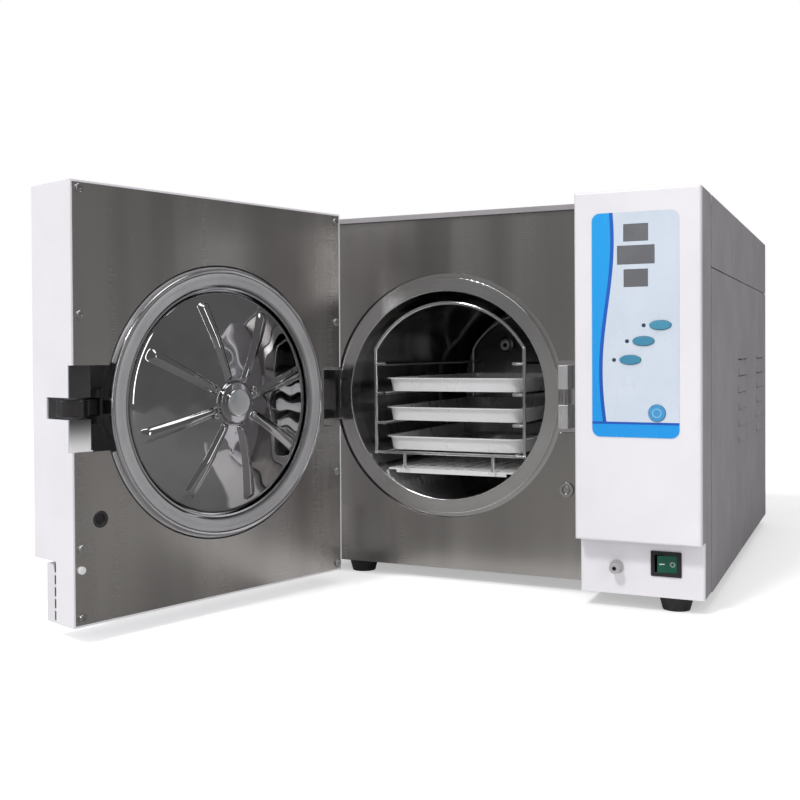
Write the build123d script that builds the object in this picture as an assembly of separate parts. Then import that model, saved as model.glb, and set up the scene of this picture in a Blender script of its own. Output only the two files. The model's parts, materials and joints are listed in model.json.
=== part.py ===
from build123d import *
import math
import os

# A front-loading bench steam steriliser with its pressure door standing open.
# Millimetres. While the pieces are made, X is 0 on the cabinet's centre plane,
# Y is 0 on the steel front panel and grows towards the back, and Z is 0 on the bench.
# Door pieces are made closed and then swung open about the hinge pin.

# Fits shared by all pieces
SEAT = 0.3
RUNNING_FIT = 0.3
PIN_FIT = 0.15

# Cabinet
cabinet_width = 468.0
cabinet_height = 410.0
cabinet_depth = 560.0
cover_sheet = 1.5
cover_rim = 4.0
top_cover_skirt = 75.0
top_cover_lip = 6.0
cover_seam = 1.0
front_panel_sheet = 1.5
base_sheet = 2.0
base_flange_height = 22.0
foot_height = 14.0
foot_top_radius = 14.0
foot_bottom_radius = 11.0
foot_inset_left = 54.0
foot_inset_right = 32.0
foot_inset_front = 20.0
foot_inset_rear = 32.0
foot_inset_column = 26.0
base_tongue_inset = 10.0
base_tongue_margin = 2.0
louvre_columns = (220.0, 425.0)
louvre_length = 92.0
louvre_height = 9.0
louvre_proud = 2.6
louvre_lip = 1.5
louvre_wall = 1.0
louvre_pitch = 20.5
louvre_rows = 6
louvre_top_height = 244.0
top_slot_count = 7
top_slot_length = 70.0
top_slot_width = 4.0
top_slot_pitch = 12.0

# Door and its opening movement
door_side_gap = 2.0
door_height = 405.0
door_bottom_margin = 2.0
door_thickness = 70.0
door_standoff = 8.0
door_cover_wall = 2.0
door_edge_radius = 3.0
door_panel_sheet = 1.5
door_open_angle = 107.0
hinge_inset = 13.5
hinge_standoff = 58.5
hinge_pin_radius = 5.0
hinge_arm_width = 15.0
hinge_arm_thickness = 11.0
hinge_base_width = 24.0
hinge_pocket_half = 33.5
hinge_pocket_width = 27.0

# The step that the door and the control column share near the bench
step_height = 59.0
step_recess = 22.0
vent_plate_thickness = 13.0
vent_gap = 4.5
vent_fin = 2.5
vent_fin_pitch = 11.0
vent_plate_margin = 3.0
vent_plate_radius = 6.0

# Chamber
chamber_radius = 120.0
chamber_wall = 2.5
chamber_length = 358.0
chamber_dish_depth = 45.0
chamber_inset = 172.0
chamber_height = 200.0
chamber_port_radius = 6.0
chamber_port_offset = 60.0
flange_lip_radius = 136.0
flange_lip_proud = 1.5
flange_radius = 150.0
flange_front = 4.0
flange_thickness = 18.0
flange_ear_half = 42.0
panel_hole_margin = 5.0
heater_thickness = 3.0
heater_start = 110.0
heater_length = 220.0
jacket_clearance = 4.5
jacket_thickness = 20.0
jacket_length = 376.0
saddle_thickness = 4.0
saddle_half_width = 92.0
saddle_places = (64.0, 356.0)

# Pressure plate, gasket and its ring on the door
ring_radius = 135.0
ring_wall = 3.5
ring_proud = 5.6
ring_depth = 14.0
ring_floor = 4.0
ring_inner_radius = 105.0
panel_ring_gap = 4.0
gasket_outer = 131.0
gasket_inner = 119.0
gasket_proud = 6.1
gasket_corner = 1.8
inner_wall_radius = 117.0
inner_wall = 2.5
plate_rim_radius = 113.0
plate_sheet = 2.0
dome_edge_height = 1.0
dome_top_height = 17.0
hub_radius = 21.0
hub_height = 22.0
rib_count = 8
rib_radius = 4.0
rib_start = 30.0
rib_end = 94.0
stud_radius = 7.0
stud_head_radius = 14.0
stud_head_height = 3.0
stud_nut_radius = 12.0
stud_nut_height = 5.5
boss_radius = 17.0

# Crossbar inside the door
bar_height = 35.0
bar_depth = 18.0
bar_latch_gap = 8.0
bar_lug_length = 14.0
bar_eye_radius = 9.0
bar_spacer_offset = 80.0
bar_spacer_radius = 8.0

# Latch hook and the strike that it catches
notch_half = 39.5
notch_width = 43.0
notch_depth = 5.0
latch_inset = 47.0
latch_depth = 32.0
latch_eye_radius = 10.0
latch_half_height = 7.6
latch_turn = 27.0
latch_tip_radius = 47.5
latch_lip_outer = 45.5
latch_trunnion_radius = 5.0
latch_slot_half = 10.0
latch_ring_clearance = 1.5
latch_neck_clearance = 1.0
lug_thickness = 8.0
lug_gap = 0.7
strike_inset = 28.5
strike_standoff = 7.0
strike_pin_radius = 2.5
strike_block_width = 11.0
strike_block_height = 26.0
strike_block_proud = 12.0
strike_gap_half = 8.5

# Door lock
lock_inset = 28.0
lock_height = 98.0
lock_nose_radius = 8.0
lock_nose_proud = 3.0
lock_bolt_radius = 4.0
lock_bolt_length = 43.0
lock_body_size = 30.0
lock_body_length = 44.0
lock_slot = 1.4
lock_hole_radius = 5.0

# Control column
control_width = 125.0
control_groove = 7.0
control_groove_depth = 6.0
control_housing_sheet = 1.5
control_window_margin = 20.0
control_window_below = 90.0
control_window_above = 165.0
control_moulding_depth = 10.0
base_moulding_depth = 6.0
control_wall = 3.0
overlay_thickness = 0.7
overlay_width = 86.0
overlay_height = 223.5
overlay_inset = 18.5
overlay_top_inset = 22.5
overlay_radius = 8.0
display_inset = 62.5
display_sizes = ((24.5, 17.3), (37.0, 18.7), (24.0, 17.6))
display_drops = (43.0, 65.0, 88.0)
display_depth = 4.5
button_long = 10.5
button_short = 4.6
button_insets = (86.5, 70.0, 57.0)
button_drops = (135.0, 150.5, 169.0)
button_proud = 1.6
button_flange = 1.6
button_flange_thickness = 1.5
button_clearance = 0.4
button_travel = 1.0
light_offset = 16.3
light_radius = 1.7
light_proud = 0.5
start_inset = 83.0
start_drop = 221.5
start_radius = 8.2
board_depth = 14.0
board_thickness = 1.6
board_margin = 6.0
post_radius = 3.0

# Switch and coupling on the lower moulding
switch_inset = 87.5
switch_height = 36.0
bezel_width = 30.3
bezel_height = 25.4
bezel_proud = 1.5
switch_body_depth = 26.0
switch_body_inset = 2.0
rocker_width = 20.6
rocker_height = 17.0
rocker_depth = 9.5
rocker_axis_depth = 6.0
rocker_tilt = 9.0
rocker_opening = 0.9
rocker_pin_radius = 1.5
rocker_pin_length = 1.2
coupling_inset = 38.0
coupling_height = 30.0
coupling_radius = 5.2
coupling_length = 14.0
coupling_flange_radius = 7.0
coupling_flange = 2.0
coupling_shank_radius = 3.6

# Rack, trays and steam plate in the chamber
wire_radius = 2.0
cross_wire_radius = 1.7
weld_radius = 2.4
rack_front = 10.0
rack_length = 330.0
rack_hoop_radius = 107.0
rack_half_width = 92.5
rail_half_width = 81.0
rail_top_height = 36.0
rail_pitch = 35.0
rail_count = 4
rack_foot_half = 55.0
tray_half_width = 86.0
tray_length = 296.0
tray_height = 16.0
tray_front = 22.0
tray_sheet = 1.2
tray_rim = 3.0
tray_corner = 16.0
tray_draft = 3.0
steam_plate_drop = 90.0
steam_plate_sheet = 2.0
steam_plate_front = 15.0
steam_plate_length = 340.0
steam_hole_radius = 3.5
steam_hole_pitch = 15.0

# Water and vacuum system in the right-hand bay
bay_wall_clearance = 6.0
tank_width = 126.0
tank_length = 220.0
tank_front = 46.0
tank_wall = 3.0
waste_tank_height = 130.0
clean_tank_height = 180.0
tank_cap_radius = 26.0
tank_cap_height = 14.0
pump_length = 118.0
pump_width = 96.0
pump_gap = 14.0
pump_base_height = 30.0
pump_motor_radius = 42.0
pump_head_length = 34.0
valve_block_length = 110.0
valve_block_depth = 30.0
valve_block_height = 34.0
valve_block_rear_gap = 68.0
valve_coil_radius = 12.0
valve_coil_height = 38.0
valve_coil_pitch = 34.0
fan_size = 119.0
fan_thickness = 27.0
fan_height = 256.0
fan_bore_radius = 56.0
fan_hub_radius = 20.0
fan_blade_count = 7
fan_tip_clearance = 1.5
fan_shaft_radius = 3.0
condenser_depth = 34.0
condenser_fin = 1.2
condenser_fin_pitch = 8.0
condenser_tube_radius = 4.0
grille_slot_height = 3.0
grille_slot_pitch = 7.0

# Rear fittings
inlet_width = 27.0
inlet_height = 47.0
inlet_offset = 160.0
inlet_drop = 66.0
inlet_depth = 26.0
inlet_flange = 4.0
drain_offset = 150.0
drain_height = 46.0
drain_radius = 5.0
drain_reach = 20.0
drain_wall = 15.0
safety_offset = 150.0
safety_height = 286.0
safety_radius = 11.0
safety_reach = 14.0
pipe_radius = 4.0

# Places worked out from the sizes above
half_width = cabinet_width / 2
base_z = foot_height
top_z = base_z + cabinet_height
seam_z = top_z - top_cover_skirt
inner_half = half_width - cover_sheet
frame_half = inner_half - SEAT
rear_y = cabinet_depth
rear_inside = rear_y - cover_sheet

control_right = half_width
control_left = control_right - control_width
door_left = -half_width
door_right = control_left - door_side_gap
door_bottom = base_z + door_bottom_margin
door_top = door_bottom + door_height
door_back = -door_standoff
door_front = door_back - door_thickness
step_z = base_z + step_height

chamber_x = door_right - chamber_inset
chamber_z = base_z + chamber_height
flange_back = flange_front + flange_thickness
chamber_rear = flange_back + chamber_length
jacket_inner = chamber_radius + chamber_wall + jacket_clearance
jacket_outer = jacket_inner + jacket_thickness

hinge_x = door_left + hinge_inset
hinge_y = -hinge_standoff
bar_half = bar_height / 2

control_front = door_front
base_front = control_front + step_recess
housing_front = control_front + control_moulding_depth
base_housing_front = base_front + base_moulding_depth
control_back = -cover_rim - control_groove

strike_x = door_right - strike_inset
strike_y = -strike_standoff
latch_x = door_right - latch_inset
latch_y = door_back - latch_depth
lock_x = door_right - lock_inset
lock_z = base_z + lock_height


def block(x0, x1, y0, y1, z0, z1):
    """A box between two corners."""
    return Pos((x0 + x1) / 2, (y0 + y1) / 2, (z0 + z1) / 2) * Box(x1 - x0, y1 - y0, z1 - z0)


def rod_x(y, z, radius, x0, x1):
    return Pos((x0 + x1) / 2, y, z) * Rot(0, 90, 0) * Cylinder(radius, x1 - x0)


def rod_y(x, z, radius, y0, y1):
    return Pos(x, (y0 + y1) / 2, z) * Rot(90, 0, 0) * Cylinder(radius, y1 - y0)


def rod_z(x, y, radius, z0, z1):
    return Pos(x, y, (z0 + z1) / 2) * Cylinder(radius, z1 - z0)


def tube_y(x, z, outer, inner, y0, y1):
    return rod_y(x, z, outer, y0, y1) - rod_y(x, z, inner, y0 - 1, y1 + 1)


def prism_x(points, x0, x1):
    """A profile of (y, z) points, extruded from x0 to x1."""
    face = make_face(Polyline(*[(x0, y, z) for y, z in points], close=True))
    return extrude(face, amount=x1 - x0, dir=(1, 0, 0))


def prism_y(points, y0, y1):
    """A profile of (x, z) points, extruded from y0 to y1."""
    face = make_face(Polyline(*[(x, y0, z) for x, z in points], close=True))
    return extrude(face, amount=y1 - y0, dir=(0, 1, 0))


def prism_z(outline, z0, z1):
    """A closed outline drawn in the XY plane, extruded from z0 to z1."""
    face = make_face(outline)
    return Pos(0, 0, z0) * extrude(face, amount=z1 - z0, dir=(0, 0, 1))


def turned(edges, x, z):
    """A profile of radius and depth, turned about an axis along Y through x, z."""
    solid = revolve(make_face(edges), axis=Axis.Z, revolution_arc=360)
    return Pos(x, 0, z) * Rot(-90, 0, 0) * solid


def profile(points):
    """Straight edges through (radius, depth) points, closed."""
    return Polyline(*[(r, 0, depth) for r, depth in points], close=True)


def oval_y(x, z, half_long, half_short, y0, y1):
    """An oval bar along Y."""
    face = Plane(origin=(x, y1, z), z_dir=(0, -1, 0), x_dir=(1, 0, 0)) * Ellipse(half_long, half_short)
    return extrude(face, amount=y1 - y0)


def rounded_plate(x0, x1, y0, y1, z0, z1, radius):
    """A plate in the XZ plane with rounded corners."""
    plate = block(x0, x1, y0, y1, z0, z1)
    return fillet(plate.edges().filter_by(Axis.Y), radius)


def chamber_rod(radius, y0, y1):
    return rod_y(chamber_x, chamber_z, radius, y0, y1)


def chamber_tube(outer, inner, y0, y1):
    return tube_y(chamber_x, chamber_z, outer, inner, y0, y1)


# Cabinet sheet metal

def base_plate():
    floor_front = front_panel_sheet + SEAT
    floor_back = rear_inside - SEAT
    pan = block(-frame_half, frame_half, floor_front, floor_back, base_z, base_z + base_flange_height)
    hollow = block(-frame_half + base_sheet, frame_half - base_sheet, floor_front + base_sheet,
                   floor_back - base_sheet, base_z + base_sheet, top_z)
    tongue = block(control_left + base_tongue_margin, control_right - base_tongue_margin,
                   base_front + base_tongue_inset, floor_front + 1, base_z, base_z + base_sheet)
    return pan - hollow + tongue


def rubber_feet():
    """Four feet. The right front one stands under the column, on the base plate's tongue."""
    left = -half_width + foot_inset_left
    right = half_width - foot_inset_right
    rear = rear_y - foot_inset_rear
    places = ((left, foot_inset_front), (left, rear), (right, base_front + foot_inset_column), (right, rear))
    return [Pos(x, y, foot_height / 2) * Cone(foot_bottom_radius, foot_top_radius, foot_height) for x, y in places]


def louvre(side, y, z):
    """A hood pressed out of a side sheet, open along its foot. Gives the hood and its slot."""
    out = half_width + louvre_proud
    low = z - louvre_height / 2
    high = z + louvre_height / 2
    hood = [(inner_half, low), (out, low), (out, low + louvre_lip), (half_width, high), (inner_half, high)]
    thin = louvre_wall
    hollow = [(inner_half - 1, low - 1), (out - thin, low - 1), (out - thin, low + louvre_lip - thin / 2),
              (half_width - thin / 2, high - 1.5 * thin), (inner_half - 1, high - 1.5 * thin)]
    shell = prism_y([(side * x, height) for x, height in hood], y, y + louvre_length)
    slot = prism_y([(side * x, height) for x, height in hollow], y + thin, y + louvre_length - thin)
    return shell, slot


def side_cover(side):
    """One side sheet with two columns of pressed louvres."""
    x0, x1 = sorted((side * inner_half, side * half_width))
    cover = block(x0, x1, -cover_rim, rear_y, base_z, seam_z)
    for depth in louvre_columns:
        for row in range(louvre_rows):
            hood, slot = louvre(side, depth, base_z + louvre_top_height - row * louvre_pitch)
            cover = cover + hood - slot
    return cover


def top_cover():
    low = seam_z + cover_seam
    cover = block(-half_width, half_width, -cover_rim, rear_y, low, top_z)
    cover -= block(-inner_half, inner_half, -cover_rim + cover_sheet, rear_inside, low - 1, top_z - cover_sheet)
    cover -= block(-inner_half, inner_half, -cover_rim - 1, cover_sheet, low - 1, top_z - top_cover_lip)
    first = rear_y - 60 - (top_slot_count - 1) * top_slot_pitch
    for row in range(top_slot_count):
        y = first + row * top_slot_pitch
        for x in (-half_width / 2, half_width / 2):
            cover -= block(x - top_slot_length / 2, x + top_slot_length / 2, y, y + top_slot_width,
                           top_z - cover_sheet - 1, top_z + 1)
    return cover


fan_x = (chamber_x + flange_radius + inner_half) / 2 + 7
fan_z = base_z + fan_height
inlet_x = inlet_offset
inlet_z = base_z + inlet_drop
drain_x = -drain_offset
drain_z = base_z + drain_height
safety_x = -safety_offset
safety_z = base_z + safety_height


def rear_panel():
    panel = block(-frame_half, frame_half, rear_inside, rear_y, base_z, seam_z)
    reach = fan_bore_radius - 4
    rows = int(reach / grille_slot_pitch)
    for row in range(-rows, rows + 1):
        height = row * grille_slot_pitch
        half = math.sqrt(reach ** 2 - height ** 2)
        for x0, x1 in ((fan_x - half, fan_x - 2), (fan_x + 2, fan_x + half)):
            if x1 - x0 > grille_slot_height:
                panel -= block(x0, x1, rear_inside - 1, rear_y + 1, fan_z + height - grille_slot_height / 2,
                               fan_z + height + grille_slot_height / 2)
    panel -= block(inlet_x - inlet_width / 2 - SEAT, inlet_x + inlet_width / 2 + SEAT, rear_inside - 1, rear_y + 1,
                   inlet_z - inlet_height / 2 - SEAT, inlet_z + inlet_height / 2 + SEAT)
    panel -= rod_y(drain_x, drain_z, drain_radius + SEAT, rear_inside - 1, rear_y + 1)
    panel -= rod_y(safety_x, safety_z, safety_radius + SEAT, rear_inside - 1, rear_y + 1)
    return panel


strike_window_right = control_left
hinge_window_margin = 1.5
hinge_base_half = hinge_arm_thickness + bar_half + lug_gap


def front_panel():
    """The brushed front sheet, open round the flange, the hinge, the strike and the lock."""
    panel = block(-frame_half, frame_half, 0, front_panel_sheet, base_z, top_z - cover_sheet - cover_seam)
    panel -= chamber_rod(flange_lip_radius + panel_hole_margin, -1, front_panel_sheet + 1)
    half = hinge_base_half + hinge_window_margin
    panel -= block(hinge_x - hinge_base_width / 2 + 4 - hinge_window_margin,
                   hinge_x + hinge_base_width / 2 + 4 + hinge_window_margin,
                   -1, front_panel_sheet + 1, chamber_z - half, chamber_z + half)
    panel -= block(chamber_x + flange_lip_radius / 2, strike_window_right, -1, front_panel_sheet + 1,
                   chamber_z - notch_half, chamber_z + notch_half)
    panel -= rod_y(lock_x, lock_z, lock_nose_radius + SEAT, -1, front_panel_sheet + 1)
    panel -= block(control_left + base_tongue_margin - SEAT, control_right - base_tongue_margin + SEAT,
                   -1, front_panel_sheet + 1, base_z - 1, base_z + base_sheet + SEAT)
    panel -= block(control_left + control_window_margin, control_right - control_window_margin,
                   -1, front_panel_sheet + 1, chamber_z - control_window_below, chamber_z + control_window_above)
    return panel


# Chamber

def chamber_flange():
    ring = chamber_rod(flange_lip_radius, -flange_lip_proud, flange_back)
    ring += chamber_rod(flange_radius, flange_front, flange_back)
    ring += block(-frame_half + 4, control_left - 13, flange_front, flange_back,
                  chamber_z - flange_ear_half, chamber_z + flange_ear_half)
    ring -= chamber_rod(chamber_radius, -flange_lip_proud - 1, flange_back + 1)
    front_edges = ring.edges().group_by(Axis.Y)[0]
    return fillet(front_edges, flange_lip_proud / 2)


def chamber_shell():
    """Straight shell closed by a dished end, with the steam port high on the dish."""
    outer = chamber_radius + chamber_wall
    bulge = chamber_dish_depth
    inside_arc = ThreePointArc((chamber_radius, 0, chamber_rear), dish_point(chamber_radius, bulge, 0.55),
                               (0, 0, chamber_rear + bulge))
    outside_arc = ThreePointArc((0, 0, chamber_rear + bulge + chamber_wall),
                                dish_point(outer, bulge + chamber_wall, 0.55), (outer, 0, chamber_rear))
    edges = [
        Line((outer, 0, flange_back), (chamber_radius, 0, flange_back)),
        Line((chamber_radius, 0, flange_back), (chamber_radius, 0, chamber_rear)),
        inside_arc,
        Line((0, 0, chamber_rear + bulge), (0, 0, chamber_rear + bulge + chamber_wall)),
        outside_arc,
        Line((outer, 0, chamber_rear), (outer, 0, flange_back)),
    ]
    shell = turned(edges, chamber_x, chamber_z)
    return shell - rod_y(port_x, port_z, chamber_port_radius, chamber_rear, chamber_rear + 2 * bulge)


def dish_point(radius, bulge, share):
    """A point on the round dish, at this share of its radius."""
    sphere = (radius ** 2 + bulge ** 2) / (2 * bulge)
    r = radius * share
    return (r, 0, chamber_rear + bulge - sphere + math.sqrt(sphere ** 2 - r ** 2))


port_x = chamber_x - chamber_port_offset
port_z = chamber_z + chamber_port_offset
port_y = dish_point(chamber_radius + chamber_wall, chamber_dish_depth + chamber_wall,
                    chamber_port_offset * math.sqrt(2) / (chamber_radius + chamber_wall))[2]


def band_heater():
    inner = chamber_radius + chamber_wall + SEAT
    band = chamber_tube(inner + heater_thickness, inner, heater_start, heater_start + heater_length)
    slit = block(chamber_x - 4, chamber_x + 4, heater_start - 1, heater_start + heater_length + 1,
                 chamber_z, chamber_z + jacket_outer)
    return band - slit


def insulation_jacket():
    start = flange_back + SEAT
    return chamber_tube(jacket_outer, jacket_inner, start, start + jacket_length)


def chamber_saddles():
    """Two cradles that stand on the floor of the base and carry the jacket."""
    saddles = []
    for y in saddle_places:
        plate = block(chamber_x - saddle_half_width, chamber_x + saddle_half_width, y, y + saddle_thickness,
                      base_z + base_sheet, chamber_z - jacket_outer / 2)
        saddles.append(plate - chamber_rod(jacket_outer + SEAT, y - 1, y + saddle_thickness + 1))
    return saddles


# Hinge, strike and lock on the cabinet

def hinge_bracket():
    """A foot on the flange's ear, with one arm above and one below the crossbar."""
    foot = block(hinge_x - hinge_base_width / 2 + 4, hinge_x + hinge_base_width / 2 + 4, -6, flange_front,
                 chamber_z - hinge_base_half, chamber_z + hinge_base_half)
    arm_half = hinge_arm_width / 2
    for side in (-1, 1):
        z0, z1 = sorted((chamber_z + side * (bar_half + lug_gap), chamber_z + side * hinge_base_half))
        foot += block(hinge_x - arm_half, hinge_x + arm_half, hinge_y, -6, z0, z1)
        foot += rod_z(hinge_x, hinge_y, arm_half, z0, z1)
    return foot - rod_z(hinge_x, hinge_y, hinge_pin_radius + PIN_FIT,
                        chamber_z - hinge_base_half - 1, chamber_z + hinge_base_half + 1)


def hinge_pin():
    low = chamber_z - hinge_base_half
    high = chamber_z + hinge_base_half
    return rod_z(hinge_x, hinge_y, hinge_pin_radius, low, high + 1) + \
        rod_z(hinge_x, hinge_y, hinge_arm_width / 2 - 0.5, high, high + 2.5)


def strike_blocks():
    blocks = []
    left = strike_x - strike_block_width / 2
    for side in (-1, 1):
        near = strike_gap_half
        far = strike_gap_half + strike_block_height
        z0, z1 = sorted((chamber_z + side * near, chamber_z + side * far))
        piece = block(left, left + strike_block_width, -strike_block_proud, flange_front, z0, z1)
        piece = fillet(piece.edges().group_by(Axis.Y)[0], 0.8)
        hole_low, hole_high = sorted((chamber_z, chamber_z + side * (far - 4)))
        blocks.append(piece - rod_z(strike_x, strike_y, strike_pin_radius + PIN_FIT, hole_low, hole_high))
    return blocks


def strike_pin():
    reach = strike_gap_half + strike_block_height - 4
    return rod_z(strike_x, strike_y, strike_pin_radius, chamber_z - reach, chamber_z + reach)


def lock_solenoid():
    """The coil behind the front panel, with the threaded nose that guides the bolt."""
    start = front_panel_sheet + SEAT
    half = lock_body_size / 2
    body = block(lock_x - half, lock_x + half, start, start + lock_body_length, lock_z - half, lock_z + half)
    body += rod_y(lock_x, lock_z, lock_nose_radius, -lock_nose_proud, start + 1)
    return body - rod_y(lock_x, lock_z, lock_bolt_radius + RUNNING_FIT, -lock_nose_proud - 1, start + lock_body_length + 1)


def lock_bolt():
    bolt = rod_y(lock_x, lock_z, lock_bolt_radius, -lock_nose_proud, -lock_nose_proud + lock_bolt_length)
    bolt = chamfer(bolt.edges().group_by(Axis.Y)[0], 0.6)
    slot = Box(2 * lock_bolt_radius + 2, 2.4, lock_slot)
    return bolt - Pos(lock_x, -lock_nose_proud, lock_z) * Rot(0, -35, 0) * slot


# Door: everything here is made closed

def door_cover():
    """The white outer case: a deep tray, stepped back near the bench."""
    rim = door_back - 0.5
    low_front = door_back - (door_thickness - step_recess - vent_plate_thickness - vent_gap)
    outer = [(rim, door_bottom), (low_front, door_bottom), (low_front, step_z), (door_front, step_z),
             (door_front, door_top), (rim, door_top)]
    case = prism_x(outer, door_left, door_right)
    front_edges = case.faces().sort_by(Axis.Y)[0].edges()
    case = fillet(front_edges, door_edge_radius)
    w = door_cover_wall
    inner = [(0, door_bottom + w), (low_front + w, door_bottom + w), (low_front + w, step_z + w),
             (door_front + w, step_z + w), (door_front + w, door_top - w), (0, door_top - w)]
    case -= prism_x(inner, door_left + w, door_right - w)
    for x, z in door_screw_places():
        wall_x = door_left if x < chamber_x else door_right
        x0, x1 = sorted((wall_x + math.copysign(w / 2, x - wall_x), x + math.copysign(6, x - wall_x)))
        screw_boss = block(x0, x1, door_back - door_panel_sheet - 12, door_back - door_panel_sheet, z - 6, z + 6)
        case += screw_boss - rod_y(x, z, 2.3, door_front + w + 1, 0)
    case -= block(door_left - 1, door_left + w + 0.2, door_front + w + 1, 0,
                  chamber_z - hinge_pocket_half, chamber_z + hinge_pocket_half)
    case -= block(door_right - w - 0.2, door_right + 1, door_back - notch_depth - 2, 0,
                  chamber_z - notch_half, chamber_z + notch_half)
    case -= block(door_right - w - 0.2, door_right + 1, latch_y - 12, 0,
                  chamber_z - latch_slot_half, chamber_z + latch_slot_half)
    return case


door_screw_insets = (8.4, 7.4)
door_screw_drops_free = (7.5, 121.8, 334.0, 397.0)
door_screw_drops_hinge = (9.0, 122.5, 292.0, 397.0)


def door_screw_places():
    """Four screws along the free edge and four along the hinge edge."""
    free = [(door_right - door_screw_insets[0], door_top - drop) for drop in door_screw_drops_free]
    hinge = [(door_left + door_screw_insets[1], door_top - drop) for drop in door_screw_drops_hinge]
    return free + hinge


bumper_inset = 7.8
bumper_drop = 353.0
bumper_radius = 3.6


def door_inner_panel():
    inset = door_cover_wall + 0.1
    front = door_back - door_panel_sheet
    panel = block(door_left + inset, door_right - inset, front, door_back, door_bottom + inset, door_top - inset)
    panel -= chamber_rod(ring_radius + panel_ring_gap, front - 1, 0)
    panel -= block(door_left, door_left + hinge_pocket_width, front - 1, 0,
                   chamber_z - hinge_pocket_half, chamber_z + hinge_pocket_half)
    panel -= block(door_right - notch_width, door_right, front - 1, 0,
                   chamber_z - notch_half, chamber_z + notch_half)
    panel -= rod_y(lock_x, lock_z, lock_hole_radius, front - 1, 0)
    panel -= rod_y(door_right - bumper_inset, door_top - bumper_drop, bumper_radius - 1, front - 1, 0)
    for x, z in door_screw_places():
        panel -= rod_y(x, z, 2.3, front - 1, 0)
    return panel


def door_vent_plate():
    """The plate low on the door's face, held off by fins so that air passes behind it."""
    back = door_back - (door_thickness - step_recess - vent_plate_thickness)
    x0 = door_left + 1
    x1 = door_right - 1
    z1 = step_z - vent_plate_margin
    plate = block(x0, x1, back - vent_plate_thickness, back, door_bottom, z1)
    plate = fillet(plate.edges().filter_by(Axis.X).sort_by(lambda e: e.center().Z + e.center().Y)[-1],
                   vent_plate_radius)
    rows = int((z1 - door_bottom - vent_plate_radius) / vent_fin_pitch)
    for row in range(rows + 1):
        z = door_bottom + row * vent_fin_pitch
        plate += block(x0, x1, back - 0.5, back + vent_gap, z, z + vent_fin)
    return plate


def gasket_retainer():
    """The chromed ring: a floor with a tall outer wall and a low inner wall."""
    floor_back = door_back - ring_depth
    floor_top = floor_back + ring_floor
    lip = door_back + ring_proud
    groove = door_back + 2.0
    points = [(ring_inner_radius, floor_back), (ring_radius, floor_back), (ring_radius, lip - 1),
              (ring_radius - 1, lip), (ring_radius - ring_wall, lip), (ring_radius - ring_wall, floor_top),
              (inner_wall_radius, floor_top), (inner_wall_radius, groove),
              (inner_wall_radius - inner_wall, groove), (inner_wall_radius - inner_wall, floor_top),
              (ring_inner_radius, floor_top)]
    return turned(profile(points), chamber_x, chamber_z)


def door_gasket():
    floor_top = door_back - ring_depth + ring_floor
    ring = chamber_tube(gasket_outer, gasket_inner, floor_top, door_back + gasket_proud)
    return fillet(ring.edges().group_by(Axis.Y)[-1], gasket_corner)


def dome_height(r):
    """How far the round dome stands off the inner panel, at this radius."""
    span = plate_rim_radius - 3 - hub_radius
    rise = dome_top_height - dome_edge_height
    sphere = (span ** 2 + rise ** 2) / (2 * rise)
    return dome_top_height - sphere + math.sqrt(sphere ** 2 - (r - hub_radius) ** 2)


def door_plate():
    """The domed pressure plate with pressed ribs round its hub."""
    t = plate_sheet
    edge = plate_rim_radius - 3
    middle = (edge + hub_radius) / 2
    foot = door_back - ring_depth + ring_floor
    bore = stud_radius + PIN_FIT

    def outer(r):
        return (r, 0, door_back + dome_height(r))

    def inner(r):
        return (r, 0, door_back + dome_height(r) - t)

    hub_face = door_back + hub_height
    rim = plate_rim_radius
    edges = [
        Line((bore, 0, hub_face), (hub_radius, 0, hub_face)),
        Line((hub_radius, 0, hub_face), outer(hub_radius)),
        ThreePointArc(outer(hub_radius), outer(middle), outer(edge)),
        Line(outer(edge), (rim, 0, door_back - t)),
        Line((rim, 0, door_back - t), (rim, 0, foot)),
        Line((rim, 0, foot), (rim - t, 0, foot)),
        Line((rim - t, 0, foot), (rim - t, 0, door_back - 2 * t)),
        Line((rim - t, 0, door_back - 2 * t), inner(edge)),
        ThreePointArc(inner(edge), inner(middle), inner(hub_radius)),
        Line(inner(hub_radius), (hub_radius - t, 0, door_back + dome_top_height - t)),
        Line((hub_radius - t, 0, door_back + dome_top_height - t), (hub_radius - t, 0, hub_face - t)),
        Line((hub_radius - t, 0, hub_face - t), (bore, 0, hub_face - t)),
        Line((bore, 0, hub_face - t), (bore, 0, hub_face)),
    ]
    plate = turned(edges, chamber_x, chamber_z)
    start = (rib_start, door_back + dome_height(rib_start) - 1.6)
    end = (rib_end, door_back + dome_height(rib_end) - 1.6)
    length = math.hypot(end[0] - start[0], end[1] - start[1])
    slope = math.degrees(math.atan2(end[1] - start[1], end[0] - start[0]))
    for number in range(rib_count):
        turn = (number + 0.5) * 360 / rib_count
        rib = Rot(0, 90, 0) * Cylinder(rib_radius, length)
        rib += Pos(length / 2, 0, 0) * Sphere(rib_radius)
        rib += Pos(-length / 2, 0, 0) * Sphere(rib_radius)
        middle_r = (start[0] + end[0]) / 2
        middle_y = (start[1] + end[1]) / 2
        place = Pos(chamber_x, 0, chamber_z) * Rot(0, -turn, 0) * Pos(middle_r, middle_y, 0) * Rot(0, 0, slope)
        plate += place * rib
    return plate


def bar_front():
    return hinge_y + bar_depth / 2


def bar_rear():
    return hinge_y - bar_depth / 2


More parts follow.
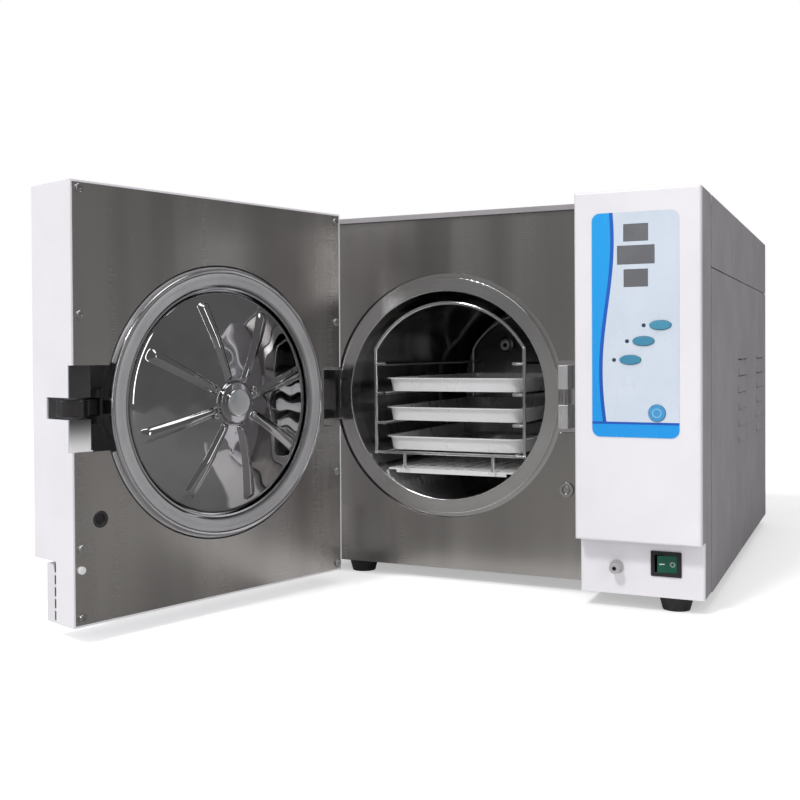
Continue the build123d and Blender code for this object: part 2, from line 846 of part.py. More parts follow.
def door_crossbar():
    """The bar that carries the plate, from the hinge eye to the lugs of the latch."""
    end = latch_x - bar_latch_gap
    bar = block(hinge_x, end, bar_rear(), bar_front(), chamber_z - bar_half, chamber_z + bar_half)
    bar += rod_z(hinge_x, hinge_y, bar_eye_radius, chamber_z - bar_half, chamber_z + bar_half)
    bar -= rod_z(hinge_x, hinge_y, hinge_pin_radius + RUNNING_FIT, chamber_z - bar_height, chamber_z + bar_height)
    boss_end = door_back + hub_height - plate_sheet - SEAT
    bar += chamber_rod(boss_radius, bar_front() - 1, boss_end)
    bar -= chamber_rod(stud_radius + PIN_FIT, bar_rear() - 1, boss_end + 1)
    for offset in (-bar_spacer_offset, bar_spacer_offset):
        bar += rod_y(chamber_x + offset, chamber_z, bar_spacer_radius, door_front + door_cover_wall, bar_rear() + 1)
    for side in (-1, 1):
        z0, z1 = sorted((chamber_z + side * (latch_half_height + lug_gap),
                         chamber_z + side * (latch_half_height + lug_gap + lug_thickness)))
        bar += block(end - bar_lug_length, latch_x + 4, bar_front() - 6, latch_y + latch_eye_radius, z0, z1)
        bar += rod_z(latch_x, latch_y, latch_eye_radius, z0, z1)
    return bar - rod_z(latch_x, latch_y, latch_trunnion_radius + RUNNING_FIT, chamber_z - 30, chamber_z + 30)


def door_stud():
    """The central bolt: a round head on the hub, and its nut behind the crossbar."""
    head = door_back + hub_height
    nut = bar_rear()
    stud = chamber_rod(stud_radius, nut - stud_nut_height, head + 1)
    cap = chamber_rod(stud_head_radius, head, head + stud_head_height)
    cap = fillet(cap.edges().group_by(Axis.Y)[-1], 1.2)
    return stud + cap + chamber_rod(stud_nut_radius, nut - stud_nut_height, nut)


def door_screws():
    screws = []
    for x, z in door_screw_places():
        head = rod_y(x, z, 4.2, door_back, door_back + 2.4)
        head = fillet(head.edges().group_by(Axis.Y)[-1], 1.4)
        head -= Pos(x, door_back + 2.4, z) * Rot(90, 0, 0) * extrude(RegularPolygon(1.9, 6), 1.5, both=True)
        screws.append(head + rod_y(x, z, 2.0, door_back - 12, door_back + 0.5))
    return screws


def door_bumper():
    x = door_right - bumper_inset
    z = door_top - bumper_drop
    head = rod_y(x, z, bumper_radius, door_back, door_back + 2.6)
    head = fillet(head.edges().group_by(Axis.Y)[-1], 1.0)
    return head + rod_y(x, z, bumper_radius - 1.2, door_back - 6, door_back + 0.5)


def latch_liner():
    """The bent steel tray in the notch at the free edge, slotted for the hook."""
    t = 1.2
    face = door_back - notch_depth
    inside = door_back - door_panel_sheet - SEAT
    bend = door_right - 22
    low = chamber_z - notch_half
    high = chamber_z + notch_half
    liner = block(bend, door_right - 0.5, face - t, face, low, high)
    liner += block(bend, bend + t, face - 16, face, low, high)
    liner += block(bend, door_right - door_cover_wall - 0.5, face - t, inside, low, low + t)
    liner += block(bend, door_right - door_cover_wall - 0.5, face - t, inside, high - t, high)
    return liner - block(bend - 1, door_right + 1, face - 20, 0,
                         chamber_z - latch_slot_half, chamber_z + latch_slot_half)


def polar(radius, angle):
    """A point at this radius and angle from the hook's own pivot."""
    return (latch_x + radius * math.cos(math.radians(angle)), latch_y + radius * math.sin(math.radians(angle)))


def latch_lever():
    """The hook on its trunnions. Its mouth is an arc about the pivot, so that it takes
    in the strike pin as it turns, and its neck stays outside the gasket's ring."""
    pin_dx = strike_x - latch_x
    pin_dy = strike_y - latch_y
    pin_distance = math.hypot(pin_dx, pin_dy)
    pin_angle = math.degrees(math.atan2(pin_dy, pin_dx))
    mouth_inner = pin_distance - strike_pin_radius - 0.5
    mouth_outer = pin_distance + strike_pin_radius + 0.5
    pin_half = math.degrees(math.asin(strike_pin_radius / pin_distance))
    mouth_end = pin_angle - latch_turn - pin_half - 1
    lip_end = pin_angle - latch_turn + 7
    neck_x = chamber_x + ring_radius + latch_ring_clearance - latch_x
    neck_y = door_back - ring_depth - latch_neck_clearance - latch_y
    neck_angle = math.degrees(math.atan2(neck_y, neck_x)) - latch_turn
    root_end = math.degrees(math.acos(neck_x / mouth_inner)) - latch_turn
    tip_low = 4.0
    mouth_middle = (mouth_end + lip_end) / 2
    outline = [
        Line(polar(latch_eye_radius, -80), polar(latch_tip_radius - 10, -2)),
        Line(polar(latch_tip_radius - 10, -2), polar(latch_tip_radius - 1, tip_low)),
        ThreePointArc(polar(latch_tip_radius - 1, tip_low), polar(latch_tip_radius, 16), polar(latch_lip_outer, mouth_end)),
        ThreePointArc(polar(latch_lip_outer, mouth_end), polar(latch_lip_outer, mouth_middle),
                      polar(latch_lip_outer, lip_end)),
        Line(polar(latch_lip_outer, lip_end), polar(mouth_outer, lip_end)),
        ThreePointArc(polar(mouth_outer, lip_end), polar(mouth_outer, mouth_middle), polar(mouth_outer, mouth_end)),
        Line(polar(mouth_outer, mouth_end), polar(mouth_inner, mouth_end)),
        ThreePointArc(polar(mouth_inner, mouth_end), polar(mouth_inner, mouth_middle), polar(mouth_inner, root_end)),
        Line(polar(mouth_inner, root_end), polar(math.hypot(neck_x, neck_y), neck_angle)),
        Line(polar(math.hypot(neck_x, neck_y), neck_angle), polar(latch_eye_radius, 98)),
        Line(polar(latch_eye_radius, 98), polar(latch_eye_radius, -80)),
    ]
    z0 = chamber_z - latch_half_height
    z1 = chamber_z + latch_half_height
    hook = prism_z(outline, z0, z1) + rod_z(latch_x, latch_y, latch_eye_radius, z0, z1)
    reach = latch_half_height + lug_gap + lug_thickness
    return hook + rod_z(latch_x, latch_y, latch_trunnion_radius, chamber_z - reach, chamber_z + reach)


# Control column

def control_outline(extra):
    """The column seen from the side, as (y, z) points."""
    e = extra
    return [(base_housing_front - e, base_z + door_bottom_margin), (base_housing_front - e, step_z),
            (housing_front - e, step_z), (housing_front - e, top_z), (control_back + e, top_z),
            (control_back + e, base_z + door_bottom_margin)]


def control_housing():
    """Grey sheet round the column, with a narrower neck that meets the steel panel."""
    t = control_housing_sheet
    housing = prism_x(control_outline(0), control_left, control_right)
    low = base_z + door_bottom_margin + t
    inside = [(base_housing_front - 20, low), (base_housing_front - 20, step_z - 0.1), (base_housing_front, step_z - 0.1),
              (base_housing_front, step_z + t), (housing_front - 20, step_z + t), (housing_front - 20, top_z - t),
              (control_back + 20, top_z - t), (control_back + 20, low)]
    housing -= prism_x(inside, control_left + t, control_right - t)
    bottom = base_z + door_bottom_margin
    neck_top = top_z - top_cover_lip - cover_seam
    neck_right = control_right - control_groove_depth
    housing += block(control_left, control_left + t, control_back - 1, 0, bottom, neck_top)
    housing += block(neck_right - t, neck_right, control_back - t, 0, bottom, neck_top)
    housing += block(neck_right - t, control_right, control_back - t, control_back, bottom, top_z)
    housing += block(control_left, neck_right, control_back - t, 0, neck_top - t, neck_top)
    return housing + block(control_left, control_right, control_back - t, control_back, neck_top - t, top_z)


def control_cover():
    """The white front moulding, with openings for the displays, lights and buttons."""
    back = housing_front - SEAT
    cover = block(control_left, control_right, control_front, back, step_z, top_z)
    cover = fillet(cover.faces().sort_by(Axis.Y)[0].edges(), door_edge_radius)
    w = control_wall
    cover -= block(control_left + w, control_right - w, control_front + w, back + 1, step_z + w, top_z - w)
    for x, z, half_x, half_z in display_places():
        cover -= block(x - half_x, x + half_x, control_front - 1, control_front + w + 1, z - half_z, z + half_z)
    for x, z in button_places():
        cover -= oval_y(x, z, button_long + button_clearance, button_short + button_clearance,
                        control_front - 1, control_front + w + 1)
        cover -= rod_y(x - light_offset, z, light_radius + SEAT, control_front - 1, control_front + w + 1)
    cover -= rod_y(start_x, start_z, start_radius + button_clearance, control_front - 1, control_front + w + 1)
    return cover


start_x = control_left + start_inset
start_z = top_z - start_drop
overlay_left = control_left + overlay_inset
overlay_top = top_z - overlay_top_inset


def display_places():
    """Centre and half size of each opening for a display."""
    places = []
    for (width, height), drop in zip(display_sizes, display_drops):
        places.append((control_left + display_inset, top_z - drop, width / 2, height / 2))
    return places


def button_places():
    return [(control_left + inset, top_z - drop) for inset, drop in zip(button_insets, button_drops)]


def control_overlay():
    """The thin printed membrane on the moulding."""
    face = control_front - overlay_thickness
    sheet = rounded_plate(overlay_left, overlay_left + overlay_width, face, control_front,
                          overlay_top - overlay_height, overlay_top, overlay_radius)
    for x, z, half_x, half_z in display_places():
        sheet -= block(x - half_x, x + half_x, face - 1, control_front + 1, z - half_z, z + half_z)
    for x, z in button_places():
        sheet -= oval_y(x, z, button_long + button_clearance, button_short + button_clearance,
                        face - 1, control_front + 1)
        sheet -= rod_y(x - light_offset, z, light_radius + SEAT, face - 1, control_front + 1)
    return sheet - rod_y(start_x, start_z, start_radius + button_clearance, face - 1, control_front + 1)


def display_windows():
    windows = []
    face = control_front - overlay_thickness
    for x, z, half_x, half_z in display_places():
        windows.append(block(x - half_x + SEAT, x + half_x - SEAT, face, face + display_depth,
                             z - half_z + SEAT, z + half_z - SEAT))
    return windows


def status_lights():
    lights = []
    face = control_front - overlay_thickness - light_proud
    for x, z in button_places():
        lens = rod_y(x - light_offset, z, light_radius, face, face + display_depth)
        lights.append(fillet(lens.edges().group_by(Axis.Y)[0], 0.5))
    return lights


button_face = control_front - overlay_thickness - button_proud
button_back = control_front + control_wall + SEAT + button_flange_thickness


def oval_button(number):
    x, z = button_places()[number]
    cap = oval_y(x, z, button_long, button_short, button_face, button_back)
    cap = fillet(cap.edges().group_by(Axis.Y)[0], 0.7)
    flange = oval_y(x, z, button_long + button_flange, button_short + button_flange,
                    button_back - button_flange_thickness, button_back)
    return cap + flange


def start_button():
    cap = rod_y(start_x, start_z, start_radius, button_face, button_back)
    cap = fillet(cap.edges().group_by(Axis.Y)[0], 0.7)
    return cap + rod_y(start_x, start_z, start_radius + button_flange,
                       button_back - button_flange_thickness, button_back)


def control_board():
    """The circuit board, with a display module and a switch post behind each opening."""
    front = control_front + board_depth
    low = overlay_top - overlay_height
    board = block(overlay_left - board_margin, overlay_left + overlay_width + board_margin, front,
                  front + board_thickness, low, overlay_top)
    for x, z, half_x, half_z in display_places():
        board += block(x - half_x - 1, x + half_x + 1, control_front - overlay_thickness + display_depth + SEAT,
                       front + 0.5, z - half_z - 1, z + half_z + 1)
    for x, z in button_places() + [(start_x, start_z)]:
        board += rod_y(x, z, post_radius, button_back + button_travel + 0.2, front + 0.5)
    return board


switch_x = control_left + switch_inset
switch_z = base_z + switch_height
coupling_x = control_left + coupling_inset
coupling_z = base_z + coupling_height


def control_base():
    """The lower white moulding, set back under the column."""
    back = base_housing_front - SEAT
    low = base_z + door_bottom_margin
    cover = block(control_left, control_right, base_front, back, low, step_z - SEAT)
    cover = fillet(cover.faces().sort_by(Axis.Y)[0].edges().filter_by(Axis.Z), door_edge_radius)
    w = control_wall
    cover -= block(control_left + w, control_right - w, base_front + w, back + 1, low + w, step_z - SEAT - w)
    half_x = bezel_width / 2 - switch_body_inset
    half_z = bezel_height / 2 - switch_body_inset
    cover -= block(switch_x - half_x, switch_x + half_x, base_front - 1, base_front + w + 1,
                   switch_z - half_z, switch_z + half_z)
    return cover - rod_y(coupling_x, coupling_z, coupling_shank_radius + SEAT, base_front - 1, base_front + w + 1)


def switch_housing():
    half_x = bezel_width / 2
    half_z = bezel_height / 2
    inset = switch_body_inset + SEAT
    housing = rounded_plate(switch_x - half_x, switch_x + half_x, base_front - bezel_proud, base_front,
                            switch_z - half_z, switch_z + half_z, 1.2)
    housing += block(switch_x - half_x + inset, switch_x + half_x - inset, base_front - 0.5,
                     base_front + switch_body_depth, switch_z - half_z + inset, switch_z + half_z - inset)
    open_x = rocker_width / 2 + rocker_opening
    open_z = rocker_height / 2 + SEAT
    housing -= block(switch_x - open_x, switch_x + open_x, base_front - bezel_proud - 1,
                     base_front + rocker_axis_depth + rocker_depth, switch_z - open_z, switch_z + open_z)
    return housing - rod_z(switch_x, base_front + rocker_axis_depth, rocker_pin_radius + RUNNING_FIT,
                           switch_z - half_z, switch_z + half_z)


def power_rocker():
    """The two-way key on its pivots, at rest with its right half pressed in."""
    half = rocker_width / 2
    crown = rocker_axis_depth + bezel_proud
    low = switch_z - rocker_height / 2
    outline = Polyline((-half + 0.6, -crown - 1.2, 0), (0, -crown + 0.6, 0), (half - 0.6, -crown - 1.2, 0),
                       (half - 1.2, -crown + 3.0, 0), (half - 3.0, 4.0, 0), (-half + 3.0, 4.0, 0),
                       (-half + 1.2, -crown + 3.0, 0), close=True)
    key = extrude(make_face(outline), amount=rocker_height, dir=(0, 0, 1))
    axis_y = base_front + rocker_axis_depth
    reach = rocker_height / 2 + SEAT + rocker_pin_length
    pivot = rod_z(switch_x, axis_y, rocker_pin_radius, switch_z - reach, switch_z + reach)
    return Pos(switch_x, axis_y, low) * Rot(0, 0, rocker_tilt) * key + pivot


def fill_coupling():
    """The short water coupling beside the switch."""
    tip = base_front - coupling_length
    flange = base_front - coupling_flange
    shank_end = base_front + control_wall + 14
    points = [(2.2, tip), (coupling_radius - 0.8, tip), (coupling_radius, tip + 0.8), (coupling_radius, flange - 3),
              (coupling_radius - 1, flange - 2), (coupling_radius - 1, flange), (coupling_flange_radius, flange),
              (coupling_flange_radius, base_front), (coupling_shank_radius, base_front),
              (coupling_shank_radius, shank_end), (2.2, shank_end)]
    return turned(profile(points), coupling_x, coupling_z)


# Rack, trays and steam plate

steam_plate_top = chamber_z - steam_plate_drop + steam_plate_sheet


def rail_heights():
    return [chamber_z + rail_top_height - number * rail_pitch for number in range(rail_count)]


def wire_frame(y):
    """One upright frame of the rack: a hoop, two legs, cross wires and two feet."""
    legs_top = math.sqrt(rack_hoop_radius ** 2 - rack_half_width ** 2)
    angle = math.degrees(math.atan2(legs_top, rack_half_width))
    low = rail_heights()[-1]
    hoop_plane = Plane(origin=(chamber_x, y, chamber_z), x_dir=(1, 0, 0), z_dir=(0, -1, 0))
    arc = hoop_plane * CenterArc((0, 0), rack_hoop_radius, angle, 180 - 2 * angle)
    section = Plane(origin=arc @ 0, z_dir=arc % 0) * Circle(wire_radius)
    frame = sweep(section, path=arc)
    for side in (-1, 1):
        x = chamber_x + side * rack_half_width
        foot_x = chamber_x + side * rack_foot_half
        frame += rod_z(x, y, wire_radius, low, chamber_z + legs_top)
        frame += Pos(x, y, chamber_z + legs_top) * Sphere(weld_radius)
        frame += Pos(x, y, low) * Sphere(weld_radius)
        frame += rod_z(foot_x, y, wire_radius, steam_plate_top + SEAT, low)
        for z in rail_heights():
            x0, x1 = sorted((x, chamber_x + side * rail_half_width))
            frame += rod_x(y, z, cross_wire_radius, x0, x1)
    return frame + rod_x(y, low, cross_wire_radius, chamber_x - rack_half_width, chamber_x + rack_half_width)


def rack():
    """The wire rack: two frames joined by four pairs of rails."""
    body = wire_frame(rack_front) + wire_frame(rack_front + rack_length)
    for side in (-1, 1):
        x = chamber_x + side * rail_half_width
        for z in rail_heights():
            body += rod_y(x, z, wire_radius, rack_front - wire_radius, rack_front + rack_length + wire_radius)
    return body


def tray(number):
    """A shallow pressed tray that slides on the rails below it."""
    z = rail_heights()[number + 1] + wire_radius + SEAT
    middle_y = tray_front + tray_length / 2
    taper = math.degrees(math.atan2(tray_draft, tray_height))
    t = tray_sheet
    half_w = tray_half_width - tray_draft
    bottom = RectangleRounded(2 * half_w, tray_length - 2 * tray_draft, tray_corner)
    shell = extrude(bottom, amount=tray_height, taper=-taper)
    hollow_base = RectangleRounded(2 * (half_w - t), tray_length - 2 * tray_draft - 2 * t, tray_corner - t)
    shell -= Pos(0, 0, t) * extrude(hollow_base, amount=tray_height, taper=-taper)
    rim_plane = Pos(0, 0, tray_height - t)
    rim_outer = RectangleRounded(2 * (tray_half_width + tray_rim), tray_length + 2 * tray_rim, tray_corner + tray_rim)
    rim_inner = RectangleRounded(2 * (tray_half_width - 1.5), tray_length - 3, tray_corner)
    shell += rim_plane * extrude(rim_outer - rim_inner, amount=t)
    return Pos(chamber_x, middle_y, z) * shell


def steam_plate_half():
    low = steam_plate_drop
    return math.sqrt((chamber_radius - SEAT) ** 2 - low ** 2)


def perforated_plate():
    half = steam_plate_half()
    low = chamber_z - steam_plate_drop
    plate = block(chamber_x - half, chamber_x + half, steam_plate_front, steam_plate_front + steam_plate_length,
                  low, low + steam_plate_sheet)
    across = int((half - 8) / steam_hole_pitch)
    along = int((steam_plate_length - 20) / steam_hole_pitch)
    holes = []
    for column in range(-across, across + 1):
        for row in range(along + 1):
            x = chamber_x + column * steam_hole_pitch
            y = steam_plate_front + 12 + row * steam_hole_pitch
            holes.append(Pos(x, y) * Circle(steam_hole_radius))
    cutter = Pos(0, 0, low - 1) * extrude(Sketch() + holes, amount=steam_plate_sheet + 2)
    return plate - cutter


# Water, vacuum and electrical parts

bay_left = inner_half - bay_wall_clearance - tank_width
bay_right = inner_half - bay_wall_clearance
bay_middle = (bay_left + bay_right) / 2
floor_z = base_z + base_sheet
valve_block_front = rear_y - valve_block_rear_gap - valve_block_depth
pump_front = valve_block_front - pump_gap - pump_length


def hollow_tank(z0, z1):
    tank = block(bay_left, bay_right, tank_front, tank_front + tank_length, z0, z1)
    tank = fillet(tank.edges().filter_by(Axis.Z), 10)
    return tank - block(bay_left + tank_wall, bay_right - tank_wall, tank_front + tank_wall,
                        tank_front + tank_length - tank_wall, z0 + tank_wall, z1 - tank_wall)


def waste_water_tank():
    return hollow_tank(floor_z, floor_z + waste_tank_height)


def clean_water_tank():
    low = floor_z + waste_tank_height
    high = low + clean_tank_height
    tank = hollow_tank(low, high)
    cap_y = tank_front + tank_length / 2
    return tank + rod_z(bay_middle, cap_y, tank_cap_radius, high, high + tank_cap_height)


def vacuum_pump():
    half = pump_width / 2
    pump = block(bay_middle - half, bay_middle + half, pump_front, pump_front + pump_length,
                 floor_z, floor_z + pump_base_height)
    axis_z = floor_z + pump_base_height + pump_motor_radius - 8
    pump += rod_y(bay_middle, axis_z, pump_motor_radius, pump_front + pump_head_length, pump_front + pump_length)
    pump += block(bay_middle - half + 6, bay_middle + half - 6, pump_front, pump_front + pump_head_length,
                  floor_z + pump_base_height - 1, axis_z + pump_motor_radius + 6)
    return pump


def valve_block():
    half = valve_block_length / 2
    body = block(bay_middle - half, bay_middle + half, valve_block_front, valve_block_front + valve_block_depth,
                 floor_z, floor_z + valve_block_height)
    top = floor_z + valve_block_height
    for number in (-1, 0, 1):
        x = bay_middle + number * valve_coil_pitch
        body += rod_z(x, valve_block_front + valve_block_depth / 2, valve_coil_radius, top - 1, top + valve_coil_height)
    return body


fan_front = rear_inside - SEAT - fan_thickness


def fan_frame():
    """A square frame with a bore, a spider across its back and a fixed shaft."""
    half = fan_size / 2
    back = rear_inside - SEAT
    frame = block(fan_x - half, fan_x + half, fan_front, back, fan_z - half, fan_z + half)
    frame = fillet(frame.edges().filter_by(Axis.Y), 6)
    frame -= rod_y(fan_x, fan_z, fan_bore_radius, fan_front - 1, back + 1)
    spider = block(fan_x - half + 2, fan_x + half - 2, back - 4, back, fan_z - 4, fan_z + 4)
    spider += block(fan_x - 4, fan_x + 4, back - 4, back, fan_z - half + 2, fan_z + half - 2)
    spider += rod_y(fan_x, fan_z, fan_hub_radius, back - 5, back)
    shaft = rod_y(fan_x, fan_z, fan_shaft_radius, fan_front + 2, back - 1)
    return frame + spider + shaft


def fan_rotor():
    back = rear_inside - SEAT - 5 - 1
    front = fan_front + 3
    hub = rod_y(fan_x, fan_z, fan_hub_radius, front, back)
    tip = fan_bore_radius - fan_tip_clearance
    reach = tip - fan_hub_radius + 4
    for number in range(fan_blade_count):
        blade = Pos(fan_hub_radius - 4 + reach / 2, 0, 0) * Rot(38, 0, 0) * Box(reach, 1.8, 20)
        place = Pos(fan_x, (front + back) / 2, fan_z) * Rot(0, number * 360 / fan_blade_count, 0)
        hub += place * blade
    hub = hub & rod_y(fan_x, fan_z, tip, front, back)
    return hub - rod_y(fan_x, fan_z, fan_shaft_radius + RUNNING_FIT, front - 1, back + 1)


def condenser():
    """A finned coil in front of the fan."""
    half = fan_size / 2
    back = fan_front - SEAT
    front = back - condenser_depth
    body = None
    for x in (fan_x - half, fan_x + half - 3):
        wall = block(x, x + 3, front, back, fan_z - half, fan_z + half)
        body = wall if body is None else body + wall
    rows = int(fan_size / condenser_fin_pitch)
    for row in range(rows):
        z = fan_z - half + 3 + row * condenser_fin_pitch
        body += block(fan_x - half, fan_x + half, front + 2, back - 2, z, z + condenser_fin)
    for x in (-0.3, 0, 0.3):
        body += rod_z(fan_x + x * fan_size, (front + back) / 2, condenser_tube_radius, fan_z - half, fan_z + half)
    return body


def safety_valve():
    """A spring valve whose outlet stands out of the rear panel."""
    inside = rear_inside - 26
    outside = rear_y + safety_reach
    points = [(0, inside), (safety_radius - 3, inside), (safety_radius - 3, inside + 6), (safety_radius + 4, inside + 6),
              (safety_radius + 4, rear_inside - SEAT), (safety_radius, rear_inside - SEAT), (safety_radius, rear_y + 4),
              (safety_radius - 4, rear_y + 5), (safety_radius - 4, outside), (0, outside)]
    return turned(profile(points), safety_x, safety_z)


def pipe(points, bend):
    """A round pipe through these points, with equal bends."""
    path = FilletPolyline(*points, radius=bend)
    section = Plane(origin=path @ 0, z_dir=path % 0) * Circle(pipe_radius)
    return sweep(section, path=path)


drain_inside = rear_inside - 22


def steam_pipes():
    """One pipe from the steam port to the safety valve, and one from the valves to the drain."""
    start = port_y + SEAT
    valve_end = rear_inside - 26 - SEAT
    mid = (start + valve_end) / 2
    high = pipe([(port_x, start, port_z), (port_x, mid, port_z), (safety_x, mid, safety_z),
                 (safety_x, valve_end, safety_z)], 12)
    side_x = bay_middle - valve_block_length / 2 - SEAT
    valve_y = valve_block_front + valve_block_depth / 2
    low = pipe([(side_x, valve_y, drain_z), (drain_x, valve_y, drain_z), (drain_x, drain_inside - SEAT, drain_z)], 14)
    return [high, low]


def mains_inlet():
    half_x = inlet_width / 2
    half_z = inlet_height / 2
    inlet = block(inlet_x - half_x, inlet_x + half_x, rear_inside - inlet_depth, rear_y + 1,
                  inlet_z - half_z, inlet_z + half_z)
    flange = rounded_plate(inlet_x - half_x - inlet_flange, inlet_x + half_x + inlet_flange, rear_y, rear_y + 3,
                           inlet_z - half_z - inlet_flange, inlet_z + half_z + inlet_flange, 3)
    inlet += flange
    socket = block(inlet_x - 11, inlet_x + 11, rear_y - 14, rear_y + 4, inlet_z - 18, inlet_z - 2)
    inlet -= socket
    for offset in (-6.5, 0, 6.5):
        inlet += block(inlet_x + offset - 1, inlet_x + offset + 1, rear_y - 15, rear_y - 2, inlet_z - 12, inlet_z - 8)
    return inlet - block(inlet_x - 9, inlet_x + 9, rear_y + 1.5, rear_y + 4, inlet_z + 4, inlet_z + 18)


def drain_fitting():
    """The hose spigot low on the rear panel."""
    tip = rear_y + drain_reach
    collar = tip - drain_wall - 1
    r = drain_radius
    points = [(2.5, drain_inside), (r, drain_inside), (r, rear_y), (r + 4, rear_y), (r + 4, collar), (r, collar),
              (r, tip - 1), (r - 1, tip), (2.5, tip)]
    return turned(profile(points), drain_x, drain_z)


def swing_open(shape):
    """Move a door piece from its closed place to the open rest pose."""
    return Pos(hinge_x, hinge_y, 0) * Rot(0, 0, -door_open_angle) * Pos(-hinge_x, -hinge_y, 0) * shape


fixed_pieces = {
    "base_plate": base_plate(), "rubber_feet": rubber_feet(), "side_cover_left": side_cover(-1),
    "side_cover_right": side_cover(1), "rear_panel": rear_panel(), "top_cover": top_cover(),
    "front_panel": front_panel(), "chamber_flange": chamber_flange(), "chamber_shell": chamber_shell(),
    "band_heater": band_heater(), "insulation_jacket": insulation_jacket(), "chamber_saddles": chamber_saddles(),
    "hinge_bracket": hinge_bracket(), "hinge_pin": hinge_pin(), "strike_blocks": strike_blocks(),
    "strike_pin": strike_pin(), "lock_solenoid": lock_solenoid(), "lock_bolt": lock_bolt(),
    "control_housing": control_housing(), "control_cover": control_cover(), "control_base": control_base(),
    "control_overlay": control_overlay(), "display_windows": display_windows(), "status_lights": status_lights(),
    "upper_button": oval_button(0), "middle_button": oval_button(1), "lower_button": oval_button(2),
    "start_button": start_button(), "control_board": control_board(), "switch_housing": switch_housing(),
    "power_rocker": power_rocker(), "fill_coupling": fill_coupling(), "rack": rack(), "tray_upper": tray(0),
    "tray_middle": tray(1), "tray_lower": tray(2), "perforated_plate": perforated_plate(),
    "clean_water_tank": clean_water_tank(), "waste_water_tank": waste_water_tank(), "vacuum_pump": vacuum_pump(),
    "valve_block": valve_block(), "fan_frame": fan_frame(), "fan_rotor": fan_rotor(), "condenser": condenser(),
    "safety_valve": safety_valve(), "steam_pipes": steam_pipes(), "mains_inlet": mains_inlet(),
    "drain_fitting": drain_fitting(),
}

door_pieces = {
    "door_cover": door_cover(), "door_inner_panel": door_inner_panel(), "door_vent_plate": door_vent_plate(),
    "gasket_retainer": gasket_retainer(), "door_gasket": door_gasket(), "door_plate": door_plate(),
    "door_crossbar": door_crossbar(), "door_stud": door_stud(), "door_screws": door_screws(),
    "door_bumper": door_bumper(), "latch_liner": latch_liner(), "latch_lever": latch_lever(),
}


def as_compound(piece):
    """Groups of like solids, such as the feet, share one node."""
    return Compound(piece if isinstance(piece, list) else [piece])


pieces = {name: as_compound(piece) for name, piece in fixed_pieces.items()}
pieces.update({name: swing_open(as_compound(piece)) for name, piece in door_pieces.items()})

# The origin is on the bench, under the middle of the whole part's box
whole = Compound(list(pieces.values())).bounding_box()
origin_x = (whole.min.X + whole.max.X) / 2
origin_y = (whole.min.Y + whole.max.Y) / 2
to_origin = Pos(-origin_x, -origin_y, -whole.min.Z)

os.makedirs("parts", exist_ok=True)
for name, piece in pieces.items():
    export_step(to_origin * piece, f"parts/{name}.step")
print("origin moved by", round(-origin_x, 3), round(-origin_y, 3), round(-whole.min.Z, 3))
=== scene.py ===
import bmesh
import bpy
import json
import math
from mathutils import Matrix, Vector


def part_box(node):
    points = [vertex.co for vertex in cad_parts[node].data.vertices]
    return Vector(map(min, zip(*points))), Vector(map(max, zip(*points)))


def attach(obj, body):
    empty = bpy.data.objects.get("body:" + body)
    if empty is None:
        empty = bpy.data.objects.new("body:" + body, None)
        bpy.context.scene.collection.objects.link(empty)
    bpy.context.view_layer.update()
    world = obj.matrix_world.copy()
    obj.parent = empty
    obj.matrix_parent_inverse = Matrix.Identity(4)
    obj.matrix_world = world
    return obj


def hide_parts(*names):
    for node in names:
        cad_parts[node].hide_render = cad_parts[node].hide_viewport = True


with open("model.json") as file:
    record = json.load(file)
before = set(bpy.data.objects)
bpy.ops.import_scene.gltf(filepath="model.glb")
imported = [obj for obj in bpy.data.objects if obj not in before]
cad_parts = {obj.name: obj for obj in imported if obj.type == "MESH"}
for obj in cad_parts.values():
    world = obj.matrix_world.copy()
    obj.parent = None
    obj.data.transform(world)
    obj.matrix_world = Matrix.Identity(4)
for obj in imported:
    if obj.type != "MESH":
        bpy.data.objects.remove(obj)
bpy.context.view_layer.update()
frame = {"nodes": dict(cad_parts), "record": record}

# The part's own sizes, in millimetres, as its source gives them
DOOR_ANGLE = 107.0
HINGE = (-220.5, -58.5)
CHAMBER = (-65.0, 214.0)
BORE = 120.0
DOOR_FACE = -8.0
DOOR_FREE_EDGE, DOOR_FOOT = 107.0, 16.0
RING_RADIUS, SHEET_HOLE = 135.0, 139.0
LATCH_POCKET, HINGE_POCKET = 39.5, 33.5
VENT_ROWS, VENT_PITCH, VENT_FIN, VENT_DEPTH = 5, 11.0, 2.5, -40.75
ROCKER_AXIS, ROCKER_HEIGHT = (196.5, -50.0), 50.0
ROCKER_TILT = 9.0

panel_low, panel_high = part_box("front_panel")
SHIFT = Vector(((panel_low[0] + panel_high[0]) / 2, panel_low[1], 0.0))
TO_FRAME = Matrix.Translation(SHIFT) @ Matrix.Scale(0.001, 4)
HINGE_PLACE = Matrix.Translation(Vector((HINGE[0], HINGE[1], 0.0)))
DOOR_TURN = HINGE_PLACE @ Matrix.Rotation(math.radians(-DOOR_ANGLE), 4, "Z") @ HINGE_PLACE.inverted()
TO_DOOR = TO_FRAME @ DOOR_TURN

node_body = {}
for body_name, node_names in frame["record"]["behaviour"]["bodies"].items():
    for node_name in node_names:
        node_body[node_name] = body_name


def to_frame(x, y, z):
    """A place given in the source's millimetres, in the frame's metres."""
    return TO_FRAME @ Vector((x, y, z))


# Node groups

def new_group(name, inputs, outputs):
    """A shader node group with named sockets: (name, kind, default)."""
    group = bpy.data.node_groups.new(name, "ShaderNodeTree")
    for label, kind, default in inputs:
        socket = group.interface.new_socket(label, in_out="INPUT", socket_type=kind)
        if default is not None:
            socket.default_value = default
    for label, kind in outputs:
        group.interface.new_socket(label, in_out="OUTPUT", socket_type=kind)
    return group, group.nodes.new("NodeGroupInput"), group.nodes.new("NodeGroupOutput")


